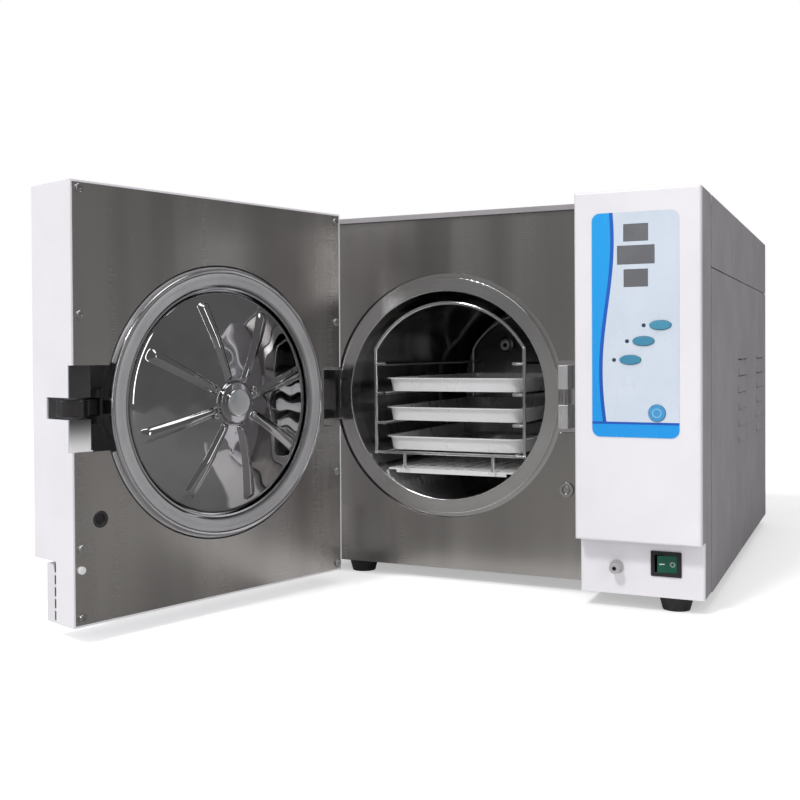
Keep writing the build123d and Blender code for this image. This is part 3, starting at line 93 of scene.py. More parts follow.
def math_node(tree, operation, a, b=None, clamp=False):
    node = tree.nodes.new("ShaderNodeMath")
    node.operation = operation
    node.use_clamp = clamp
    for number, value in enumerate((a, b)):
        if value is None:
            continue
        if isinstance(value, (int, float)):
            node.inputs[number].default_value = value
        else:
            tree.links.new(value, node.inputs[number])
    return node.outputs[0]


def weighted(tree, first, first_share, second, second_share):
    """The sum of two values, each times its share."""
    return math_node(tree, "ADD", math_node(tree, "MULTIPLY", first, first_share),
                     math_node(tree, "MULTIPLY", second, second_share))


def ramp_value(tree, value, low, high, to_low=0.0, to_high=1.0):
    """The value carried from one range to another, smoothly and clamped."""
    node = tree.nodes.new("ShaderNodeMapRange")
    node.interpolation_type = "SMOOTHSTEP"
    for label, source in (("Value", value), ("From Min", low), ("From Max", high),
                          ("To Min", to_low), ("To Max", to_high)):
        if isinstance(source, (int, float)):
            node.inputs[label].default_value = source
        else:
            tree.links.new(source, node.inputs[label])
    return node.outputs["Result"]


def noise(tree, vector, scale, detail=3.0, roughness=0.55):
    node = tree.nodes.new("ShaderNodeTexNoise")
    node.inputs["Scale"].default_value = scale
    node.inputs["Detail"].default_value = detail
    node.inputs["Roughness"].default_value = roughness
    tree.links.new(vector, node.inputs["Vector"])
    return node.outputs["Fac"]


def scaled(tree, vector, factors):
    node = tree.nodes.new("ShaderNodeVectorMath")
    node.operation = "MULTIPLY"
    tree.links.new(vector, node.inputs[0])
    if isinstance(factors, (tuple, list)):
        node.inputs[1].default_value = factors
    else:
        tree.links.new(factors, node.inputs[1])
    return node.outputs[0]


def brushed_group():
    """Fine straight grain: drawn lines, soft bands across them and a few longer scratches."""
    group, source, result = new_group(
        "brushed grain",
        (("Vector", "NodeSocketVector", None), ("Stretch", "NodeSocketVector", (9.0, 9.0, 2600.0)),
         ("Rough Low", "NodeSocketFloat", 0.2), ("Rough High", "NodeSocketFloat", 0.34)),
        (("Tone", "NodeSocketFloat"), ("Roughness", "NodeSocketFloat"), ("Height", "NodeSocketFloat")))
    stretched = scaled(group, source.outputs["Vector"], source.outputs["Stretch"])
    lines = noise(group, stretched, 1.0, 4.0, 0.7)
    bands = noise(group, scaled(group, source.outputs["Vector"], (17.0, 17.0, 0.9)), 1.0, 3.0, 0.45)
    long_scratch = noise(group, scaled(group, stretched, (0.4, 0.4, 0.35)), 1.0, 1.0)
    blend = weighted(group, lines, 0.15, bands, 0.85)
    group.links.new(ramp_value(group, blend, 0.3, 0.7), result.inputs["Tone"])
    rough = ramp_value(group, blend, 0.3, 0.7, source.outputs["Rough Low"], source.outputs["Rough High"])
    group.links.new(rough, result.inputs["Roughness"])
    height = math_node(group, "ADD", lines, math_node(group, "MULTIPLY", long_scratch, 0.3))
    group.links.new(height, result.inputs["Height"])
    return group


def turned_group():
    """Grain that runs round an axis along Y through the vector's zero."""
    group, source, result = new_group(
        "turned grain",
        (("Vector", "NodeSocketVector", None), ("Pitch", "NodeSocketFloat", 900.0),
         ("Rough Low", "NodeSocketFloat", 0.16), ("Rough High", "NodeSocketFloat", 0.3)),
        (("Tone", "NodeSocketFloat"), ("Roughness", "NodeSocketFloat"), ("Height", "NodeSocketFloat")))
    flat = scaled(group, source.outputs["Vector"], (1.0, 0.0, 1.0))
    length = group.nodes.new("ShaderNodeVectorMath")
    length.operation = "LENGTH"
    group.links.new(flat, length.inputs[0])
    parts = group.nodes.new("ShaderNodeSeparateXYZ")
    group.links.new(source.outputs["Vector"], parts.inputs[0])
    joined = group.nodes.new("ShaderNodeCombineXYZ")
    pitch = source.outputs["Pitch"]
    group.links.new(math_node(group, "MULTIPLY", length.outputs["Value"], pitch), joined.inputs[0])
    group.links.new(math_node(group, "MULTIPLY", parts.outputs[1], pitch), joined.inputs[1])
    rings = noise(group, joined.outputs[0], 1.0, 3.0, 0.65)
    patches = noise(group, source.outputs["Vector"], 16.0, 2.0)
    blend = weighted(group, rings, 0.65, patches, 0.35)
    group.links.new(ramp_value(group, blend, 0.36, 0.64), result.inputs["Tone"])
    rough = ramp_value(group, blend, 0.36, 0.66, source.outputs["Rough Low"], source.outputs["Rough High"])
    group.links.new(rough, result.inputs["Roughness"])
    group.links.new(rings, result.inputs["Height"])
    return group


def skin_group():
    """Sprayed or moulded surface: fine peel, faint mottling and soft handling marks."""
    group, source, result = new_group(
        "peel and marks",
        (("Vector", "NodeSocketVector", None), ("Peel Scale", "NodeSocketFloat", 700.0),
         ("Rough Low", "NodeSocketFloat", 0.3), ("Rough High", "NodeSocketFloat", 0.42)),
        (("Tone", "NodeSocketFloat"), ("Roughness", "NodeSocketFloat"), ("Height", "NodeSocketFloat")))
    peel_node = group.nodes.new("ShaderNodeTexNoise")
    peel_node.inputs["Detail"].default_value = 2.0
    group.links.new(source.outputs["Vector"], peel_node.inputs["Vector"])
    group.links.new(source.outputs["Peel Scale"], peel_node.inputs["Scale"])
    mottle = noise(group, source.outputs["Vector"], 14.0, 4.0)
    marks = noise(group, scaled(group, source.outputs["Vector"], (30.0, 30.0, 9.0)), 1.0, 3.0)
    group.links.new(ramp_value(group, mottle, 0.35, 0.65), result.inputs["Tone"])
    rough = ramp_value(group, marks, 0.35, 0.7, source.outputs["Rough Low"], source.outputs["Rough High"])
    group.links.new(rough, result.inputs["Roughness"])
    group.links.new(peel_node.outputs["Fac"], result.inputs["Height"])
    return group


BRUSHED = brushed_group()
TURNED = turned_group()
SKIN = skin_group()


# Materials

def coordinates(tree, centre=None, turn=(0.0, 0.0, 0.0)):
    """Object coordinates in metres, moved so that centre is their zero."""
    source = tree.nodes.new("ShaderNodeTexCoord").outputs["Object"]
    if centre is None:
        return source
    mapping = tree.nodes.new("ShaderNodeMapping")
    mapping.vector_type = "TEXTURE"
    mapping.inputs["Location"].default_value = centre
    mapping.inputs["Rotation"].default_value = turn
    tree.links.new(source, mapping.inputs["Vector"])
    return mapping.outputs[0]


def blank_material(name):
    material = bpy.data.materials.new(name)
    material.use_nodes = True
    tree = material.node_tree
    return material, tree, tree.nodes["Principled BSDF"]


def colour_mix(tree, factor, first, second):
    node = tree.nodes.new("ShaderNodeMix")
    node.data_type = "RGBA"
    tree.links.new(factor, node.inputs["Factor"])
    for socket, value in ((node.inputs[6], first), (node.inputs[7], second)):
        if isinstance(value, (tuple, list)):
            socket.default_value = (*value, 1.0)
        else:
            tree.links.new(value, socket)
    return node.outputs[2]


def grouped(tree, group, vector, **values):
    node = tree.nodes.new("ShaderNodeGroup")
    node.node_tree = group
    tree.links.new(vector, node.inputs["Vector"])
    for label, value in values.items():
        node.inputs[label.replace("_", " ")].default_value = value
    return node


def add_bump(tree, shader, height, strength, distance):
    bump = tree.nodes.new("ShaderNodeBump")
    bump.inputs["Strength"].default_value = strength
    bump.inputs["Distance"].default_value = distance
    tree.links.new(height, bump.inputs["Height"])
    tree.links.new(bump.outputs[0], shader.inputs["Normal"])


def surface(name, group, dark, light, rough, metallic=0.0, strength=0.1, distance=0.0002, centre=None,
            turn=(0.0, 0.0, 0.0), coat=0.0, sheen=0.0, specular=0.5, mirrored=None, **values):
    """A material whose tone, roughness and relief come from one of the groups. Mirrored is a
    painted reflection: its colour where polished steel mirrors it."""
    material, tree, shader = blank_material(name)
    node = grouped(tree, group, coordinates(tree, centre, turn), Rough_Low=rough[0], Rough_High=rough[1], **values)
    colour = colour_mix(tree, node.outputs["Tone"], dark, light)
    if mirrored:
        path = tree.nodes.new("ShaderNodeLightPath")
        colour = colour_mix(tree, path.outputs["Is Glossy Ray"], colour, mirrored)
    tree.links.new(colour, shader.inputs["Base Color"])
    tree.links.new(node.outputs["Roughness"], shader.inputs["Roughness"])
    shader.inputs["Metallic"].default_value = metallic
    shader.inputs["Specular IOR Level"].default_value = specular
    shader.inputs["Coat Weight"].default_value = coat
    shader.inputs["Coat Roughness"].default_value = 0.12
    shader.inputs["Sheen Weight"].default_value = sheen
    add_bump(tree, shader, node.outputs["Height"], strength, distance)
    return material


def metal(name, group, dark, light, rough, **values):
    return surface(name, group, dark, light, rough, metallic=1.0, **values)


chamber_centre = to_frame(CHAMBER[0], 0.0, CHAMBER[1])
door_centre = TO_DOOR @ Vector((CHAMBER[0], 0.0, CHAMBER[1]))
door_turn = (0.0, 0.0, math.radians(-DOOR_ANGLE))

WHITE_PAINT = surface("white_powder_coat", SKIN, (0.83, 0.81, 0.845), (0.86, 0.84, 0.875), (0.34, 0.46),
                      strength=0.12, distance=0.00015, Peel_Scale=900.0)
GREY_PAINT = surface("grey_powder_coat", SKIN, (0.325, 0.308, 0.325), (0.36, 0.342, 0.36), (0.42, 0.55),
                     strength=0.16, distance=0.0002, Peel_Scale=800.0)
WHITE_MOULDING = surface("white_moulding", SKIN, (0.76, 0.75, 0.77), (0.8, 0.79, 0.81), (0.3, 0.4),
                         strength=0.06, distance=0.0001, Peel_Scale=1400.0)
SHEET = metal("brushed_sheet_steel", BRUSHED, (0.44, 0.425, 0.41), (0.62, 0.6, 0.58), (0.21, 0.29),
              strength=0.04, distance=0.00002)
POLISHED = metal("polished_steel", BRUSHED, (0.7, 0.7, 0.705), (0.8, 0.8, 0.805), (0.05, 0.1),
                 strength=0.02, distance=0.00005, Stretch=(40.0, 40.0, 300.0))
MIRROR = metal("mirror_plate", SKIN, (0.4, 0.395, 0.405), (0.47, 0.465, 0.475), (0.025, 0.06),
               strength=0.01, distance=0.00005, Peel_Scale=60.0)
CHROME_RING = metal("turned_chrome", TURNED, (0.66, 0.66, 0.67), (0.78, 0.78, 0.79), (0.08, 0.16),
                    strength=0.05, distance=0.00005, centre=door_centre, turn=door_turn)
FLANGE = metal("turned_flange", TURNED, (0.7, 0.695, 0.69), (0.88, 0.875, 0.87), (0.1, 0.18),
               strength=0.7, distance=0.00008, centre=chamber_centre, Pitch=2200.0)
CHAMBER_WALL = metal("rolled_chamber_wall", TURNED, (0.56, 0.555, 0.555), (0.7, 0.695, 0.695), (0.08, 0.17),
                     strength=0.05, distance=0.00006, centre=chamber_centre, Pitch=300.0)
ZINC = metal("zinc_plated_steel", SKIN, (0.5, 0.5, 0.5), (0.62, 0.62, 0.62), (0.24, 0.36), strength=0.06,
             Peel_Scale=500.0)
TURNED_STEEL = metal("machined_steel", SKIN, (0.52, 0.515, 0.51), (0.64, 0.635, 0.63), (0.2, 0.32),
                     strength=0.08, Peel_Scale=900.0)
DARK_STEEL = metal("dark_bar_steel", SKIN, (0.12, 0.115, 0.115), (0.18, 0.175, 0.175), (0.3, 0.42),
                   strength=0.12, Peel_Scale=500.0)
CAST = metal("cast_aluminium", SKIN, (0.4, 0.4, 0.405), (0.52, 0.52, 0.525), (0.4, 0.55), strength=0.3,
             distance=0.0003, Peel_Scale=600.0)
WIRE = metal("bright_wire", SKIN, (0.7, 0.7, 0.7), (0.82, 0.82, 0.82), (0.1, 0.18), strength=0.03, Peel_Scale=700.0)
TRAY_METAL = surface("pressed_tray_aluminium", SKIN, (0.94, 0.935, 0.94), (0.98, 0.975, 0.98), (0.26, 0.38),
                     metallic=0.2, strength=0.03, distance=0.00006, Peel_Scale=300.0)
# A dark copy of the tray aluminium, used as painted shade on the trays' sides.
TRAY_PAINTED_SHADE = metal("tray_aluminium_painted_shade", SKIN, (0.2, 0.2, 0.205), (0.28, 0.28, 0.285), (0.2, 0.3),
                  strength=0.03, distance=0.00006, Peel_Scale=300.0)
PALE_STEEL = surface("pale_satin_steel", SKIN, (0.5, 0.495, 0.505), (0.6, 0.595, 0.605), (0.26, 0.38),
                     metallic=0.35, strength=0.05, Peel_Scale=800.0)
BRASS = metal("machined_brass", SKIN, (0.62, 0.46, 0.22), (0.76, 0.58, 0.3), (0.2, 0.32), strength=0.08,
              Peel_Scale=800.0)
COPPER = metal("drawn_copper", SKIN, (0.68, 0.36, 0.22), (0.8, 0.46, 0.3), (0.2, 0.34), strength=0.06,
               Peel_Scale=300.0)
BLACK_RUBBER = surface("black_rubber", SKIN, (0.012, 0.012, 0.012), (0.022, 0.022, 0.022), (0.55, 0.72),
                       strength=0.3, distance=0.0003, sheen=0.1, Peel_Scale=900.0)
BLACK_PLASTIC = surface("black_plastic", SKIN, (0.018, 0.018, 0.02), (0.03, 0.03, 0.032), (0.34, 0.48),
                        strength=0.2, distance=0.0002, Peel_Scale=1200.0)
HANDLE = surface("dark_glazed_handle", SKIN, (0.022, 0.02, 0.022), (0.036, 0.034, 0.036), (0.16, 0.28),
                 strength=0.05, coat=0.5, Peel_Scale=400.0)
SILICONE = surface("grey_silicone", SKIN, (0.33, 0.325, 0.335), (0.385, 0.38, 0.39), (0.42, 0.54),
                   strength=0.12, distance=0.0002, sheen=0.15, Peel_Scale=700.0)
# The keys' mirrored colour is a painted reflection: polished steel shows them grey.
OVAL_BLUE = surface("teal_blue_key", SKIN, (0.06, 0.27, 0.42), (0.09, 0.34, 0.5), (0.3, 0.42),
                    strength=0.12, mirrored=(0.2, 0.2, 0.2), Peel_Scale=1600.0)
START_BLUE = surface("bright_blue_key", SKIN, (0.03, 0.25, 0.56), (0.06, 0.32, 0.64), (0.28, 0.38),
                     strength=0.1, mirrored=(0.2, 0.2, 0.2), Peel_Scale=1600.0)
SYMBOL_BLUE = surface("pale_blue_mark", SKIN, (0.2, 0.5, 0.74), (0.26, 0.56, 0.8), (0.3, 0.4),
                      strength=0.05, Peel_Scale=1600.0)
BOARD_GREEN = surface("circuit_board", SKIN, (0.012, 0.09, 0.035), (0.02, 0.14, 0.055), (0.28, 0.4),
                      strength=0.1, coat=0.3, Peel_Scale=400.0)
GREEN_KEY = surface("dark_green_rocker", SKIN, (0.004, 0.085, 0.05), (0.01, 0.13, 0.075), (0.14, 0.24),
                    strength=0.04, coat=0.6, Peel_Scale=500.0)
KEY_MARK = surface("white_key_mark", SKIN, (0.6, 0.68, 0.62), (0.72, 0.78, 0.73), (0.35, 0.45),
                   strength=0.04, Peel_Scale=900.0)
LENS = surface("light_lens", SKIN, (0.03, 0.06, 0.12), (0.05, 0.1, 0.18), (0.1, 0.18), strength=0.02, coat=0.5,
               Peel_Scale=900.0)
DISPLAY = surface("grey_display", SKIN, (0.155, 0.158, 0.172), (0.185, 0.188, 0.202), (0.2, 0.3),
                  strength=0.02, coat=0.35, Peel_Scale=1500.0)
TANK = surface("milky_tank_plastic", SKIN, (0.66, 0.69, 0.69), (0.76, 0.78, 0.78), (0.35, 0.5), strength=0.12,
               Peel_Scale=200.0)
GLASS_WOOL = surface("glass_wool_jacket", SKIN, (0.5, 0.46, 0.36), (0.72, 0.68, 0.56), (0.85, 0.95),
                     strength=0.9, distance=0.0015, sheen=0.4, Peel_Scale=260.0)
HEATER = metal("heat_tinted_band", SKIN, (0.34, 0.28, 0.22), (0.48, 0.43, 0.38), (0.3, 0.45), strength=0.1,
               Peel_Scale=200.0)


def panel_film():
    """A pale printed membrane: a blue side band with one waved edge, a darker stripe along
    it and a plain band across the foot."""
    material, tree, shader = blank_material("printed_panel_film")
    low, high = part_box("control_overlay")
    vector = coordinates(tree, (low[0], low[1], low[2]))
    parts = tree.nodes.new("ShaderNodeSeparateXYZ")
    tree.links.new(vector, parts.inputs[0])
    across, up = parts.outputs[0], parts.outputs[2]
    wave = math_node(tree, "SINE", math_node(tree, "MULTIPLY", up, 24.0))
    edge = math_node(tree, "SUBTRACT", 0.0165, math_node(tree, "MULTIPLY", wave, 0.0058))
    beyond = math_node(tree, "SUBTRACT", across, edge)
    soft = 0.00012
    band = ramp_value(tree, beyond, soft, -soft)
    stripe_low = ramp_value(tree, beyond, -0.0036 - soft, -0.0036 + soft)
    stripe = math_node(tree, "MULTIPLY", stripe_low, band)
    foot = ramp_value(tree, up, 0.0152 + soft, 0.0152 - soft)
    foot_line = math_node(tree, "MULTIPLY", ramp_value(tree, up, 0.0128 - soft, 0.0128 + soft), foot)
    skin = grouped(tree, SKIN, vector, Rough_Low=0.24, Rough_High=0.32, Peel_Scale=1500.0)
    pale = colour_mix(tree, skin.outputs["Tone"], (0.64, 0.71, 0.81), (0.68, 0.75, 0.84))
    fade = ramp_value(tree, up, 0.0, 0.22)
    azure = colour_mix(tree, fade, (0.01, 0.33, 0.84), (0.02, 0.38, 0.88))
    deep = colour_mix(tree, fade, (0.012, 0.1, 0.5), (0.02, 0.13, 0.56))
    printed = colour_mix(tree, band, pale, azure)
    printed = colour_mix(tree, stripe, printed, deep)
    printed = colour_mix(tree, foot, printed, azure)
    printed = colour_mix(tree, foot_line, printed, deep)
    # Painted reflection: polished steel mirrors the film as plain grey.
    path = tree.nodes.new("ShaderNodeLightPath")
    seen = colour_mix(tree, path.outputs["Is Glossy Ray"], printed, (0.3, 0.3, 0.31))
    tree.links.new(seen, shader.inputs["Base Color"])
    tree.links.new(skin.outputs["Roughness"], shader.inputs["Roughness"])
    shader.inputs["Coat Weight"].default_value = 0.25
    shader.inputs["Coat Roughness"].default_value = 0.2
    add_bump(tree, shader, skin.outputs["Height"], 0.06, 0.0001)
    return material


def liner_painted_light():
    """Polished steel with painted light: bright at its foot and dark above, as it stands against the light."""
    material, tree, shader = blank_material("latch_liner_painted_light")
    low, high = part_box("latch_liner")
    parts = tree.nodes.new("ShaderNodeSeparateXYZ")
    vector = coordinates(tree, (low[0], low[1], low[2]))
    tree.links.new(vector, parts.inputs[0])
    # Painted light: this ramp brightens the foot and leaves the steel above in painted shade.
    foot = ramp_value(tree, parts.outputs[2], (high[2] - low[2]) * 0.42, 0.0)
    skin = grouped(tree, SKIN, vector, Rough_Low=0.14, Rough_High=0.24, Peel_Scale=400.0)
    tone = colour_mix(tree, skin.outputs["Tone"], (0.1, 0.097, 0.1), (0.15, 0.147, 0.15))
    tree.links.new(colour_mix(tree, foot, tone, (0.92, 0.915, 0.92)), shader.inputs["Base Color"])
    tree.links.new(skin.outputs["Roughness"], shader.inputs["Roughness"])
    metallic = math_node(tree, "SUBTRACT", 0.8, math_node(tree, "MULTIPLY", foot, 0.7))
    tree.links.new(metallic, shader.inputs["Metallic"])
    add_bump(tree, shader, skin.outputs["Height"], 0.05, 0.0001)
    return material


PANEL_FILM = panel_film()
LINER_PAINTED_LIGHT = liner_painted_light()


# Making pieces

def settle(name, mesh, body, material, replaces=(), angle=35.0):
    """Puts a finished mesh in the scene, on its body."""
    mesh.materials.clear()
    materials = material if isinstance(material, (list, tuple)) else [material]
    for item in materials:
        mesh.materials.append(item)
    mesh.shade_smooth()
    mesh.set_sharp_from_angle(angle=math.radians(angle))
    piece = bpy.data.objects.new(name, mesh)
    bpy.context.scene.collection.objects.link(piece)
    level = piece.modifiers.new("even_normals", "WEIGHTED_NORMAL")
    level.keep_sharp = True
    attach(piece, body)
    if replaces:
        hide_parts(*replaces)
    return piece


def bevelled(bm, width, segments=2, angle=30.0):
    """Rounds every edge sharper than the angle."""
    limit = math.radians(angle)
    edges = [edge for edge in bm.edges if edge.is_manifold and edge.calc_face_angle(0.0) > limit]
    bmesh.ops.bevel(bm, geom=edges, offset=width, offset_type="OFFSET", segments=segments, profile=0.5,
                    affect="EDGES", material=-1, clamp_overlap=True)


def made(name, bm, place, body, material, replaces=(), width=0.0, segments=2, angle=35.0):
    """A mesh drawn in millimetres, rounded, put in its place and settled."""
    bmesh.ops.remove_doubles(bm, verts=bm.verts, dist=0.0005)
    bmesh.ops.recalc_face_normals(bm, faces=bm.faces)
    if width:
        bevelled(bm, width, segments)
    bm.transform(place)
    mesh = bpy.data.meshes.new(name)
    bm.to_mesh(mesh)
    bm.free()
    return settle(name, mesh, body, material, replaces, angle)


def softened(node, material, width=0.3, segments=2, angle=35.0, paint=None):
    """The node's own shape with its sharp edges rounded. Width is in millimetres."""
    bm = bmesh.new()
    bm.from_mesh(frame["nodes"][node].data)
    bmesh.ops.remove_doubles(bm, verts=bm.verts, dist=0.000004)
    bmesh.ops.dissolve_limit(bm, angle_limit=math.radians(0.6), verts=bm.verts, edges=bm.edges)
    bmesh.ops.recalc_face_normals(bm, faces=bm.faces)
    bevelled(bm, width * 0.001, segments)
    if paint:
        paint(bm)
    mesh = bpy.data.meshes.new(node + "_rounded")
    bm.to_mesh(mesh)
    bm.free()
    return settle(node + "_rounded", mesh, node_body[node], material, (node,), angle)


def kept(node, material):
    """A node shown as it is, with its own finish."""
    piece = frame["nodes"][node]
    for slot in piece.material_slots:
        slot.material = material


def spun(profile, steps=192, centre=CHAMBER):
    """A closed profile of (radius, depth) turned about an axis along Y."""
    bm = bmesh.new()
    points = [bm.verts.new((radius, depth, 0.0)) for radius, depth in profile]
    edges = [bm.edges.new((points[i], points[(i + 1) % len(points)])) for i in range(len(points))]
    bmesh.ops.spin(bm, geom=points + edges, cent=(0, 0, 0), axis=(0, 1, 0), angle=math.tau, steps=steps,
                   use_merge=True)
    bmesh.ops.remove_doubles(bm, verts=bm.verts, dist=0.0005)
    bmesh.ops.translate(bm, verts=bm.verts, vec=(centre[0], 0.0, centre[1]))
    return bm


# Cabinet

FACING = 0.6


def painted(passes):
    """A painter that gives the second finish, painted shade, to each face whose normal and middle pass."""
    def paint(bm):
        for face in bm.faces:
            if passes(face.normal, face.calc_center_median()):
                face.material_index = 1
    return paint


housing_right, housing_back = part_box("control_housing")[1][:2]


def in_groove(normal, middle):
    """The faces inside the groove between the column and the cabinet, which get painted shade."""
    neck = normal.x > FACING and middle.x < housing_right - 0.003 and middle.y > housing_back - 0.012
    return neck or (normal.y > FACING and middle.x > housing_right - 0.008)


side_painted_shade = painted(lambda normal, middle: normal.x > FACING)
lip_painted_shadow = painted(lambda normal, middle: normal.y < -FACING and middle.z > 0.4)
front_painted_shade = painted(lambda normal, middle: normal.y < -FACING)
groove_painted_shade = painted(in_groove)
sides_painted_shade = painted(lambda normal, middle: abs(normal.x) > FACING)

for node in ("side_cover_left", "rear_panel"):
    softened(node, GREY_PAINT, 0.5)
# Black on the right cover's front faces is painted shade in the groove beside the column.
softened("side_cover_right", (GREY_PAINT, BLACK_PLASTIC), 0.5, paint=front_painted_shade)
# Black on the top cover's front lip is painted shadow under the rim.
softened("top_cover", (GREY_PAINT, BLACK_PLASTIC), 0.5, paint=lip_painted_shadow)
# Black on the column's faces inside the groove is painted shade.
softened("control_housing", (GREY_PAINT, BLACK_PLASTIC), 0.4, paint=groove_painted_shade)
# The right-facing sides of the white cover and base get the grey finish as painted shade.
softened("control_cover", (WHITE_PAINT, GREY_PAINT), 0.25, paint=side_painted_shade)
softened("control_base", (WHITE_PAINT, GREY_PAINT), 0.25, paint=side_painted_shade)
softened("front_panel", SHEET, 0.25)
softened("base_plate", ZINC, 0.3)
softened("strike_blocks", PALE_STEEL, 0.35)
softened("hinge_bracket", DARK_STEEL, 0.6)
softened("lock_solenoid", TURNED_STEEL, 0.5)
softened("lock_bolt", TURNED_STEEL, 0.2)
softened("switch_housing", BLACK_PLASTIC, 0.35)
softened("mains_inlet", BLACK_PLASTIC, 0.35)
softened("fan_frame", BLACK_PLASTIC, 0.5)
softened("vacuum_pump", CAST, 1.5)
softened("valve_block", BRASS, 0.6)
for node, material in (("strike_pin", WIRE), ("hinge_pin", TURNED_STEEL), ("chamber_saddles", ZINC),
                       ("band_heater", HEATER), ("insulation_jacket", GLASS_WOOL), ("status_lights", LENS),
                       ("control_board", BOARD_GREEN), ("fill_coupling", PALE_STEEL),
                       ("perforated_plate", TRAY_METAL),
                       ("clean_water_tank", TANK), ("waste_water_tank", TANK), ("fan_rotor", BLACK_PLASTIC),
                       ("condenser", TRAY_METAL), ("safety_valve", BRASS), ("steam_pipes", COPPER),
                       ("drain_fitting", BRASS), ("control_overlay", PANEL_FILM), ("display_windows", DISPLAY),
                       ("rack", WIRE), ("door_stud", POLISHED), ("door_screws", ZINC),
                       ("door_bumper", WHITE_MOULDING), ("chamber_flange", FLANGE)):
    kept(node, material)
# The trays' sides get painted shade.
for node in ("tray_upper", "tray_middle", "tray_lower"):
    softened(node, (TRAY_METAL, TRAY_PAINTED_SHADE), 0.35, paint=sides_painted_shade)
for node in ("upper_button", "middle_button", "lower_button"):
    softened(node, OVAL_BLUE, 0.2)
softened("start_button", START_BLUE, 0.2)
softened("power_rocker", GREEN_KEY, 0.4)

# Door

PLATE_RIM = 113.0
HUB = 21.0
DOME_EDGE = 1.0
DOME_TOP = 17.0
RIBS = 8
RIB_START, RIB_END = 23.0, 106.0
RIB_TURN = math.radians(6.0)
RIB_HALF, RIB_SPREAD, RIB_HEIGHT = 4.4, 2.4, 3.8
WAVE_HEIGHT, WAVE_LENGTH = 0.2, 6.0
PRESSED_EDGE = 110.0
SCREW_CIRCLE = 27.5

softened("door_cover", WHITE_PAINT, 0.5)
softened("door_vent_plate", WHITE_MOULDING, 0.4)
softened("door_inner_panel", SHEET, 0.25)
softened("door_crossbar", DARK_STEEL, 0.8)
# The liner's finish carries painted light: a bright foot and a dark top.
softened("latch_liner", LINER_PAINTED_LIGHT, 0.2)
softened("latch_lever", HANDLE, 2.4, 4)


def dome_height(radius):
    """How far the dome stands off the door's steel sheet, at this radius."""
    span = PLATE_RIM - 3.0 - HUB
    rise = DOME_TOP - DOME_EDGE
    ball = (span ** 2 + rise ** 2) / (2 * rise)
    return DOME_TOP - ball + math.sqrt(ball ** 2 - (radius - HUB) ** 2)


def smooth_step(value, low, high):
    share = min(max((value - low) / (high - low), 0.0), 1.0)
    return share * share * (3 - 2 * share)


def pressed_plate():
    """The mirror plate: flat hub, dome with eight pressed ribs and a turned-down rim."""
    profile = [(7.2, 22.0), (19.2, 22.0), (20.4, 21.5), (21.0, 20.3), (21.2, 18.4), (22.4, 17.1)]
    radius = 24.0
    while radius < PRESSED_EDGE:
        profile.append((radius, dome_height(radius)))
        radius += 1.6
    profile += [(110.6, 0.6), (112.2, -0.6), (PLATE_RIM, -2.4), (PLATE_RIM, -10.0), (111.0, -10.0), (111.0, -4.0),
                (104.0, dome_height(104.0) - 2.4), (70.0, dome_height(70.0) - 2.4), (36.0, dome_height(36.0) - 2.4),
                (19.0, 14.6), (19.0, 20.0), (7.2, 20.0)]
    bm = spun([(r, DOOR_FACE + height) for r, height in profile], 640)
    pitch = math.tau / RIBS
    for vert in bm.verts:
        x, z = vert.co.x - CHAMBER[0], vert.co.z - CHAMBER[1]
        radius = math.hypot(x, z)
        if radius < HUB or radius > PRESSED_EDGE or vert.co.y - DOOR_FACE < dome_height(radius) - 1.0:
            continue
        angle = math.atan2(z, x) - RIB_TURN
        fade = smooth_step(radius, RIB_START, RIB_START + 10.0) * (1 - smooth_step(radius, 96.0, 108.0))
        vert.co.y += WAVE_HEIGHT * fade * math.sin(radius / WAVE_LENGTH) * math.cos(RIBS * angle)
        turn = angle % pitch - pitch / 2
        along, across = radius * math.cos(turn), radius * math.sin(turn)
        half = RIB_HALF + RIB_SPREAD * smooth_step(along, RIB_START, RIB_END)
        if abs(across) >= half:
            continue
        window = smooth_step(along, RIB_START, RIB_START + 5.0) * (1 - smooth_step(along, RIB_END - 6.0, RIB_END))
        vert.co.y += RIB_HEIGHT * window * (1 - (across / half) ** 2) ** 1.15
    made("mirror_plate", bm, TO_DOOR, "door", MIRROR, ("door_plate",), angle=60.0)


def ring_and_gasket():
    """The chromed channel round the plate, and the silicone ring in it."""
    back, lip, groove = DOOR_FACE - 14.0, DOOR_FACE + 5.6, DOOR_FACE + 2.0
    channel = [(105.0, back), (RING_RADIUS, back), (RING_RADIUS, lip - 1.2), (134.6, lip - 0.4), (133.8, lip),
               (132.2, lip), (131.6, lip - 0.5), (131.5, lip - 1.2), (131.5, back + 4.0), (117.0, back + 4.0),
               (117.0, groove - 0.7), (116.6, groove), (114.9, groove), (114.5, groove - 0.7),
               (114.5, back + 4.0), (105.0, back + 4.0)]
    bm = spun(channel)
    for face in bm.faces:
        middle = face.calc_center_median()
        if math.hypot(middle.x - CHAMBER[0], middle.z - CHAMBER[1]) > RING_RADIUS - 0.7:
            face.material_index = 1
    made("gasket_channel", bm, TO_DOOR, "door", (CHROME_RING, PALE_STEEL),
         ("gasket_retainer",), angle=40.0)
    top = DOOR_FACE + 6.1
    seal = [(119.0, back + 4.0), (131.0, back + 4.0), (131.0, top - 1.8), (130.5, top - 0.6), (129.2, top),
            (126.6, top), (126.2, top - 0.5), (123.8, top - 0.5), (123.4, top), (120.8, top), (119.5, top - 0.6),
            (119.0, top - 1.8)]
    made("silicone_gasket", spun(seal), TO_DOOR, "door", SILICONE, ("door_gasket",),
         angle=50.0)


